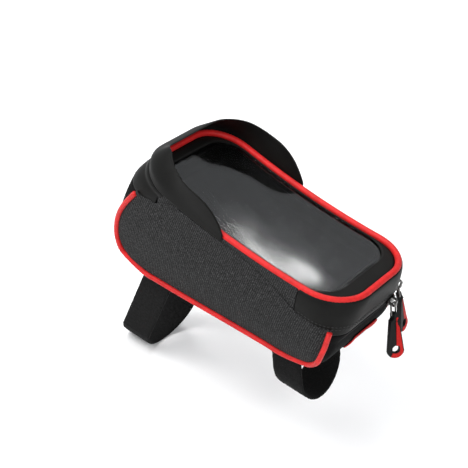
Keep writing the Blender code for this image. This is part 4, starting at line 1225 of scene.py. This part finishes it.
def cad_copy(node):
    """A copy of a CAD node's mesh in millimetres, merged, with its flat faces whole."""
    bm = bmesh.new()
    bm.from_mesh(bpy.data.objects[node].data)
    bmesh.ops.scale(bm, vec=(1 / MM, 1 / MM, 1 / MM), verts=bm.verts)
    bmesh.ops.remove_doubles(bm, verts=bm.verts, dist=0.005)
    bmesh.ops.dissolve_limit(bm, angle_limit=radians(4.0), verts=bm.verts, edges=bm.edges)
    return bm


def moulded(name, bm, material, body, node, edge):
    """A part with its edges rounded over, as moulded or cast."""
    piece = finish_piece(name, bm, finish(material), body, (node,))
    bevel = piece.modifiers.new("edges", "BEVEL")
    bevel.width = edge * MM
    bevel.segments = 3
    bevel.limit_method = "ANGLE"
    bevel.angle_limit = radians(32.0)
    bevel.harden_normals = True
    return piece


def reshape(bm, axes, change):
    """Move points; change(point) takes one in these axes and gives its place, or None."""
    inverse = axes.inverted()
    for vert in bm.verts:
        moved = change(inverse @ vert.co)
        if moved is not None:
            vert.co = moved
    return bm


def turned(point, hung):
    """Shape a puller's point and turn it about the line that the puller hangs on."""
    if hypot(point.y, point.z - HOLE_HEIGHT) < HOLE_REACH:
        point.y *= HOLE_NARROWING
        point.z = HOLE_HEIGHT + (point.z - HOLE_HEIGHT) * HOLE_STRETCH
    share = smooth((-point.z - 1.5) / 6.0)
    point.y *= 1.0 + (GRIP_SPREAD - 1.0) * share
    point.x *= 1.0 - GRIP_SLIMMING * share
    point.z *= GRIP_SHARE if point.z < 0.0 else 1.0
    return hung @ (Matrix.Rotation(-GRIP_TURN * share, 3, "Z") @ point)


def tongue(point, axes):
    """Draw a slider's inner side in, so that it runs between the teeth."""
    if point.x >= TONGUE_REACH:
        return None
    point.z = min(max(point.z, -TONGUE_HALF), TONGUE_HALF)
    return axes @ point


def red_outline(point, eye):
    """Carry the red half's top up towards the eye and draw its edge in."""
    if point.z > RED_TOP:
        point.z += RED_RISE
        point.y = min(point.y, RED_SHOULDER)
    elif point.y > 0.0:
        point.y *= RED_WIDTH
    return eye @ point


def wire_loop(hanging):
    """Centre line of a loop with rounded corners that hangs from its pin."""
    wide, top, low = LOOP_WIDTH / 2 - LOOP_CORNER, -LOOP_CORNER, -LOOP_LENGTH + LOOP_CORNER
    points = []
    for y, z, start in ((wide, top, 0.0), (-wide, top, 90.0), (-wide, low, 180.0),
                        (wide, low, 270.0)):
        for step in range(6):
            angle = radians(start + 18.0 * step)
            points.append(hanging @ Vector((0.0, y + LOOP_CORNER * cos(angle),
                                            z + LOOP_CORNER * sin(angle))))
    return points


def pulls():
    """Two sliders with their wire loops and rubber pullers, half black and half red."""
    to_eye = Matrix.Translation((0.0, 0.0, -LOOP_LENGTH))
    for name in ("near", "far"):
        axes = slider_matrix(name)
        pin = axes @ Matrix.Translation((PIN_OUT, 0.0, PIN_DROP))
        hanging = pin @ Matrix.Rotation(-HANGS[name] - SWINGS[name], 4, "Y")
        eye = pin @ Matrix.Rotation(-HANGS[name], 4, "Y") @ to_eye
        hung = hanging @ to_eye
        bm = reshape(cad_copy(name + "_slider"), axes, lambda point: tongue(point, axes))
        moulded(name + "_zip_slider", bm, "metal", name + "_slider", name + "_slider",
                0.22)
        bm = tube(wire_loop(hanging), LOOP_WIRE, 10, closed=True)
        finish_piece(name + "_wire", bm, finish("metal"), name + "_loop", (name + "_loop",))
        bm = reshape(cad_copy(name + "_puller"), eye, lambda point: turned(point, hung))
        moulded(name + "_grip", bm, "rubber", name + "_puller", name + "_puller",
                0.4)
        bm = reshape(cad_copy(name + "_inlay"), eye, lambda point: red_outline(point, eye))
        reshape(bm, eye, lambda point: turned(point, hung))
        moulded(name + "_red_half", bm, "red rubber", name + "_puller", name + "_inlay",
                0.2)


# Straps

STRAP_THICKNESS, STRAP_WIDTH, STRAP_CORNER, STRAP_BOTTOM = 1.8, 26.0, 2.6, 22.0


def strap_path(half, depth, tail_start, tail_end):
    """Centre line of a strap in (y, z): up one side, across the pad, down and round below."""
    top = PAD_THICKNESS - STRAP_THICKNESS / 2
    path = [(half, tail_start), (half, tail_start * 0.5)]
    turns = (0.0, 30.0, 60.0, 90.0)
    for hand, order in ((1.0, turns), (-1.0, turns[::-1])):
        for turn in order:
            angle = radians(turn)
            path.append((hand * (half - STRAP_CORNER + STRAP_CORNER * cos(angle)),
                         top - STRAP_CORNER + STRAP_CORNER * sin(angle)))
    middle = (STRAP_THICKNESS + GAP) / 2
    low, steps = -(depth - STRAP_BOTTOM), 24
    for step in range(steps + 1):
        angle = pi * step / steps
        path.append((middle - (half + middle) * cos(angle), low - STRAP_BOTTOM * sin(angle)))
    path.append((half + 2 * middle, tail_end))
    return path


def strap(name, node, material, place_x, half, depth, lean, tail, fuzz):
    """A webbing strap with soft edges; it leans along the bag as it goes down."""
    line = resample([Vector((0.0, y, z)) for y, z in strap_path(half, depth, *tail)], 1.1)
    across_steps = 16
    shares = [-1.0 + 2.0 * step / across_steps for step in range(across_steps + 1)]
    section = [(share, 0.5) for share in shares] + [(1.0, 0.0)]
    section += [(-share, -0.5) for share in shares] + [(-1.0, 0.0)]

    def place(i, j):
        across, through = section[j % len(section)]
        a, b = line[max(i - 1, 0)], line[min(i + 1, len(line) - 1)]
        run = (b - a).normalized()
        normal = Vector((0.0, -run.z, run.y))
        soft = 1.0 - 0.3 * abs(across) ** 10
        point = line[i] + normal * STRAP_THICKNESS * through * soft
        rough = fuzz * noise.noise(Vector((i * 0.55, across * 13.0, through * 3.0)))
        point += normal * (rough if through > 0 else -rough)
        edge = 0.12 * noise.noise(Vector((i * 0.35, across, 4.0)))
        point.x = place_x + across * (STRAP_WIDTH / 2 + edge) + lean * max(-line[i].z, 0.0)
        return point

    finish_piece(name, sleeve(len(line) - 1, len(section), place), finish(material), "case",
                 (node,))


def straps():
    """Front strap of smooth webbing and rear strap of looped pile."""
    strap("head_strap", "front_strap", "webbing", place_x=-69.0, half=27.0, depth=82.0,
          lean=-0.19, tail=(-52.0, -22.0), fuzz=0.05)
    strap("tube_strap", "rear_strap", "pile", place_x=46.5, half=25.0, depth=42.0, lean=0.35,
          tail=(-17.0, -6.0), fuzz=0.35)


# Rear patch

PATCH_Y, PATCH_WIDTH, PATCH_LOW, PATCH_HIGH = 8.0, 32.0, 0.24, 0.56
PATCH_STAND, PATCH_CROWN, PATCH_THICKNESS = 1.0, 0.35, 1.1
PATCH_EDGE_STAND, PATCH_EDGE = 1.25, 0.65


def patch_point(across, up, out):
    """A point on the stern patch; both shares run from 0 to 1."""
    level = PATCH_LOW + (PATCH_HIGH - PATCH_LOW) * up
    rear = body_plan(level)[1]
    z = BODY_FOOT + level * (tub_top(rear) - BODY_FOOT)
    return Vector((rear + tub_swell(level) + out, PATCH_Y + PATCH_WIDTH * (across - 0.5), z))


def rear_patch():
    """Patch on the stern with a narrow red edge."""
    columns, rows, edge_steps = 32, 22, 6

    def place(i, j):
        across, up = i / columns, j / rows
        crown = PATCH_CROWN * (sin(pi * across) * sin(pi * up)) ** 0.4
        return patch_point(across, up, PATCH_STAND + crown)

    piece = finish_piece("stern_patch", skin(columns, rows, place), finish("lining"), "case",
                         ("rear_patch",))
    outward(piece, Vector((1.0, 0.0, 0.0)))
    thicken(piece, PATCH_THICKNESS)
    corners = [(0.03, 0.03), (0.5, 0.01), (0.97, 0.03), (0.99, 0.5), (0.97, 0.97), (0.5, 0.99),
               (0.03, 0.97), (0.01, 0.5)]
    line = []
    for (a0, u0), (a1, u1) in zip(corners, corners[1:] + corners[:1]):
        for step in range(edge_steps):
            line.append(patch_point(a0 + (a1 - a0) * step / edge_steps,
                                    u0 + (u1 - u0) * step / edge_steps, PATCH_EDGE_STAND))
    bm = tube(resample(line, 0.8, closed=True), PATCH_EDGE, 10, closed=True, wrinkle=0.05,
              pitch=1.6)
    finish_piece("patch_edge", bm, finish("piping"), "case", ())


# Stage

# Places and sizes from here on are in metres, and powers in watts

# Soft square lamps: name, place, side and power
SOFT_LAMPS = (("key", (-0.55, -0.75, 1.05), 0.9, 18.0),
              ("fill", (1.1, -0.6, 0.8), 1.0, 9.0),
              ("top", (-0.5, 0.3, 1.3), 0.7, 10.0))
LAMP_AIM = Vector((0.0, 0.0, 0.04))

# Narrow lamp whose mirror image lies along the left edge of the film
STREAK_PLACE, STREAK_TURN = (-0.381, 0.997, 0.9), radians(118.0)
STREAK_SIZE, STREAK_POWER = (0.13, 0.014), 0.07

SKY_COLOUR, SKY_STRENGTH = (0.95, 0.97, 1.0, 1.0), 0.55
FLOOR_HALF = 30.0


def hang_lamp(name, place, turn, power, length, width):
    """A rectangular area lamp; turn is its Euler rotation."""
    light = bpy.data.lights.new(name, "AREA")
    light.shape = "RECTANGLE"
    light.size, light.size_y = length, width
    light.energy = power
    lamp = bpy.data.objects.new(name, light)
    lamp.location = place
    lamp.rotation_euler = turn
    bpy.context.scene.collection.objects.link(lamp)


def lay_floor():
    """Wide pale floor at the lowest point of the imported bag."""
    bm = bmesh.new()
    bmesh.ops.create_grid(bm, x_segments=2, y_segments=2, size=FLOOR_HALF)
    bmesh.ops.translate(bm, vec=(0, 0, CAD_BOX[0][2]), verts=bm.verts)
    mesh = bpy.data.meshes.new("floor")
    bm.to_mesh(mesh)
    bm.free()
    mesh.materials.append(stage_material())
    floor = bpy.data.objects.new("floor", mesh)
    bpy.context.scene.collection.objects.link(floor)


def place_camera():
    """The camera at the photograph's angle."""
    back = Vector((sin(CAMERA_TURN) * cos(CAMERA_TILT), -cos(CAMERA_TURN) * cos(CAMERA_TILT),
                   sin(CAMERA_TILT)))
    level = Vector((cos(CAMERA_TURN), sin(CAMERA_TURN), 0.0))
    upright = back.cross(level)
    right = level * cos(CAMERA_ROLL) + upright * sin(CAMERA_ROLL)
    up = -level * sin(CAMERA_ROLL) + upright * cos(CAMERA_ROLL)
    camera = bpy.data.cameras.new("camera")
    camera.lens = CAMERA_LENS
    camera.sensor_width = CAMERA_SENSOR
    rig = bpy.data.objects.new("camera", camera)
    place = CAMERA_PLACE * MM
    rig.matrix_world = Matrix(((right.x, up.x, back.x, place.x), (right.y, up.y, back.y, place.y),
                               (right.z, up.z, back.z, place.z), (0.0, 0.0, 0.0, 1.0)))
    bpy.context.scene.collection.objects.link(rig)
    bpy.context.scene.camera = rig


def stage():
    """Floor, soft lights and the camera."""
    scene = bpy.context.scene
    lay_floor()
    world = bpy.data.worlds.new("studio")
    world.use_nodes = True
    background = world.node_tree.nodes["Background"]
    background.inputs["Color"].default_value = SKY_COLOUR
    background.inputs["Strength"].default_value = SKY_STRENGTH
    scene.world = world
    for name, place, side, power in SOFT_LAMPS:
        turn = (LAMP_AIM - Vector(place)).to_track_quat("-Z", "Y").to_euler()
        hang_lamp(name, place, turn, power, side, side)
    hang_lamp("streak", STREAK_PLACE, (0.0, 0.0, STREAK_TURN), STREAK_POWER, *STREAK_SIZE)
    scene.view_settings.view_transform = "Standard"
    place_camera()


# Operators, panel and registration

class FRAMEBAG_OT_tub(bpy.types.Operator):
    """Build the padded tub and finish its base pad"""
    bl_idname = "frame_bag.tub"
    bl_label = "Tub"

    def execute(self, context):
        tub()
        return {"FINISHED"}


class FRAMEBAG_OT_side_panels(bpy.types.Operator):
    """Build the two heather side panels"""
    bl_idname = "frame_bag.side_panels"
    bl_label = "Side Panels"

    def execute(self, context):
        side_panels()
        return {"FINISHED"}


class FRAMEBAG_OT_pipings(bpy.types.Operator):
    """Build the red piping"""
    bl_idname = "frame_bag.pipings"
    bl_label = "Piping"

    def execute(self, context):
        pipings()
        return {"FINISHED"}


class FRAMEBAG_OT_lid_walls(bpy.types.Operator):
    """Build the lid's bands, strips and stitching"""
    bl_idname = "frame_bag.lid_walls"
    bl_label = "Lid Walls"

    def execute(self, context):
        lid_walls()
        return {"FINISHED"}


class FRAMEBAG_OT_window(bpy.types.Operator):
    """Build the clear window, its border and the tray under it"""
    bl_idname = "frame_bag.window"
    bl_label = "Window"

    def execute(self, context):
        window()
        return {"FINISHED"}


class FRAMEBAG_OT_visor(bpy.types.Operator):
    """Build the sun visor"""
    bl_idname = "frame_bag.visor"
    bl_label = "Visor"

    def execute(self, context):
        visor()
        return {"FINISHED"}


class FRAMEBAG_OT_zip_closure(bpy.types.Operator):
    """Build the zip's tapes and teeth"""
    bl_idname = "frame_bag.zip_closure"
    bl_label = "Zip"

    def execute(self, context):
        zip_closure()
        return {"FINISHED"}


class FRAMEBAG_OT_pulls(bpy.types.Operator):
    """Build the sliders, loops and pullers"""
    bl_idname = "frame_bag.pulls"
    bl_label = "Sliders and Pullers"

    def execute(self, context):
        pulls()
        return {"FINISHED"}


class FRAMEBAG_OT_straps(bpy.types.Operator):
    """Build the two straps"""
    bl_idname = "frame_bag.straps"
    bl_label = "Straps"

    def execute(self, context):
        straps()
        return {"FINISHED"}


class FRAMEBAG_OT_rear_patch(bpy.types.Operator):
    """Build the patch on the stern"""
    bl_idname = "frame_bag.rear_patch"
    bl_label = "Rear Patch"

    def execute(self, context):
        rear_patch()
        return {"FINISHED"}


class FRAMEBAG_OT_stage(bpy.types.Operator):
    """Build the floor, the lights and the camera"""
    bl_idname = "frame_bag.stage"
    bl_label = "Stage"

    def execute(self, context):
        stage()
        return {"FINISHED"}


OPERATORS = (
    FRAMEBAG_OT_tub,
    FRAMEBAG_OT_side_panels,
    FRAMEBAG_OT_pipings,
    FRAMEBAG_OT_lid_walls,
    FRAMEBAG_OT_window,
    FRAMEBAG_OT_visor,
    FRAMEBAG_OT_zip_closure,
    FRAMEBAG_OT_pulls,
    FRAMEBAG_OT_straps,
    FRAMEBAG_OT_rear_patch,
    FRAMEBAG_OT_stage,
)


class FRAMEBAG_PT_panel(bpy.types.Panel):
    """Sidebar panel with the bag's colours, sizes and operators"""
    bl_label = "Frame Bag"
    bl_space_type = "VIEW_3D"
    bl_region_type = "UI"
    bl_category = "Frame Bag"

    def draw(self, context):
        for settings in (context.scene.bag_colours, context.scene.bag_sizes):
            for key in settings.bl_rna.properties.keys():
                if key not in ("rna_type", "name"):
                    self.layout.prop(settings, key)
        for made in OPERATORS:
            self.layout.operator(made.bl_idname)


CLASSES = (BagColours, BagSizes) + OPERATORS + (FRAMEBAG_PT_panel,)


def register():
    """Register the classes and hang the settings on the scene."""
    for made in CLASSES:
        bpy.utils.register_class(made)
    bpy.types.Scene.bag_colours = PointerProperty(type=BagColours)
    bpy.types.Scene.bag_sizes = PointerProperty(type=BagSizes)


def unregister():
    """Undo what register did."""
    del bpy.types.Scene.bag_sizes
    del bpy.types.Scene.bag_colours
    for made in reversed(CLASSES):
        bpy.utils.unregister_class(made)


def main():
    """Register the classes and build every piece."""
    register()
    for made in OPERATORS:
        getattr(bpy.ops.frame_bag, made.bl_idname.split(".")[1])()


if __name__ == "__main__":
    main()
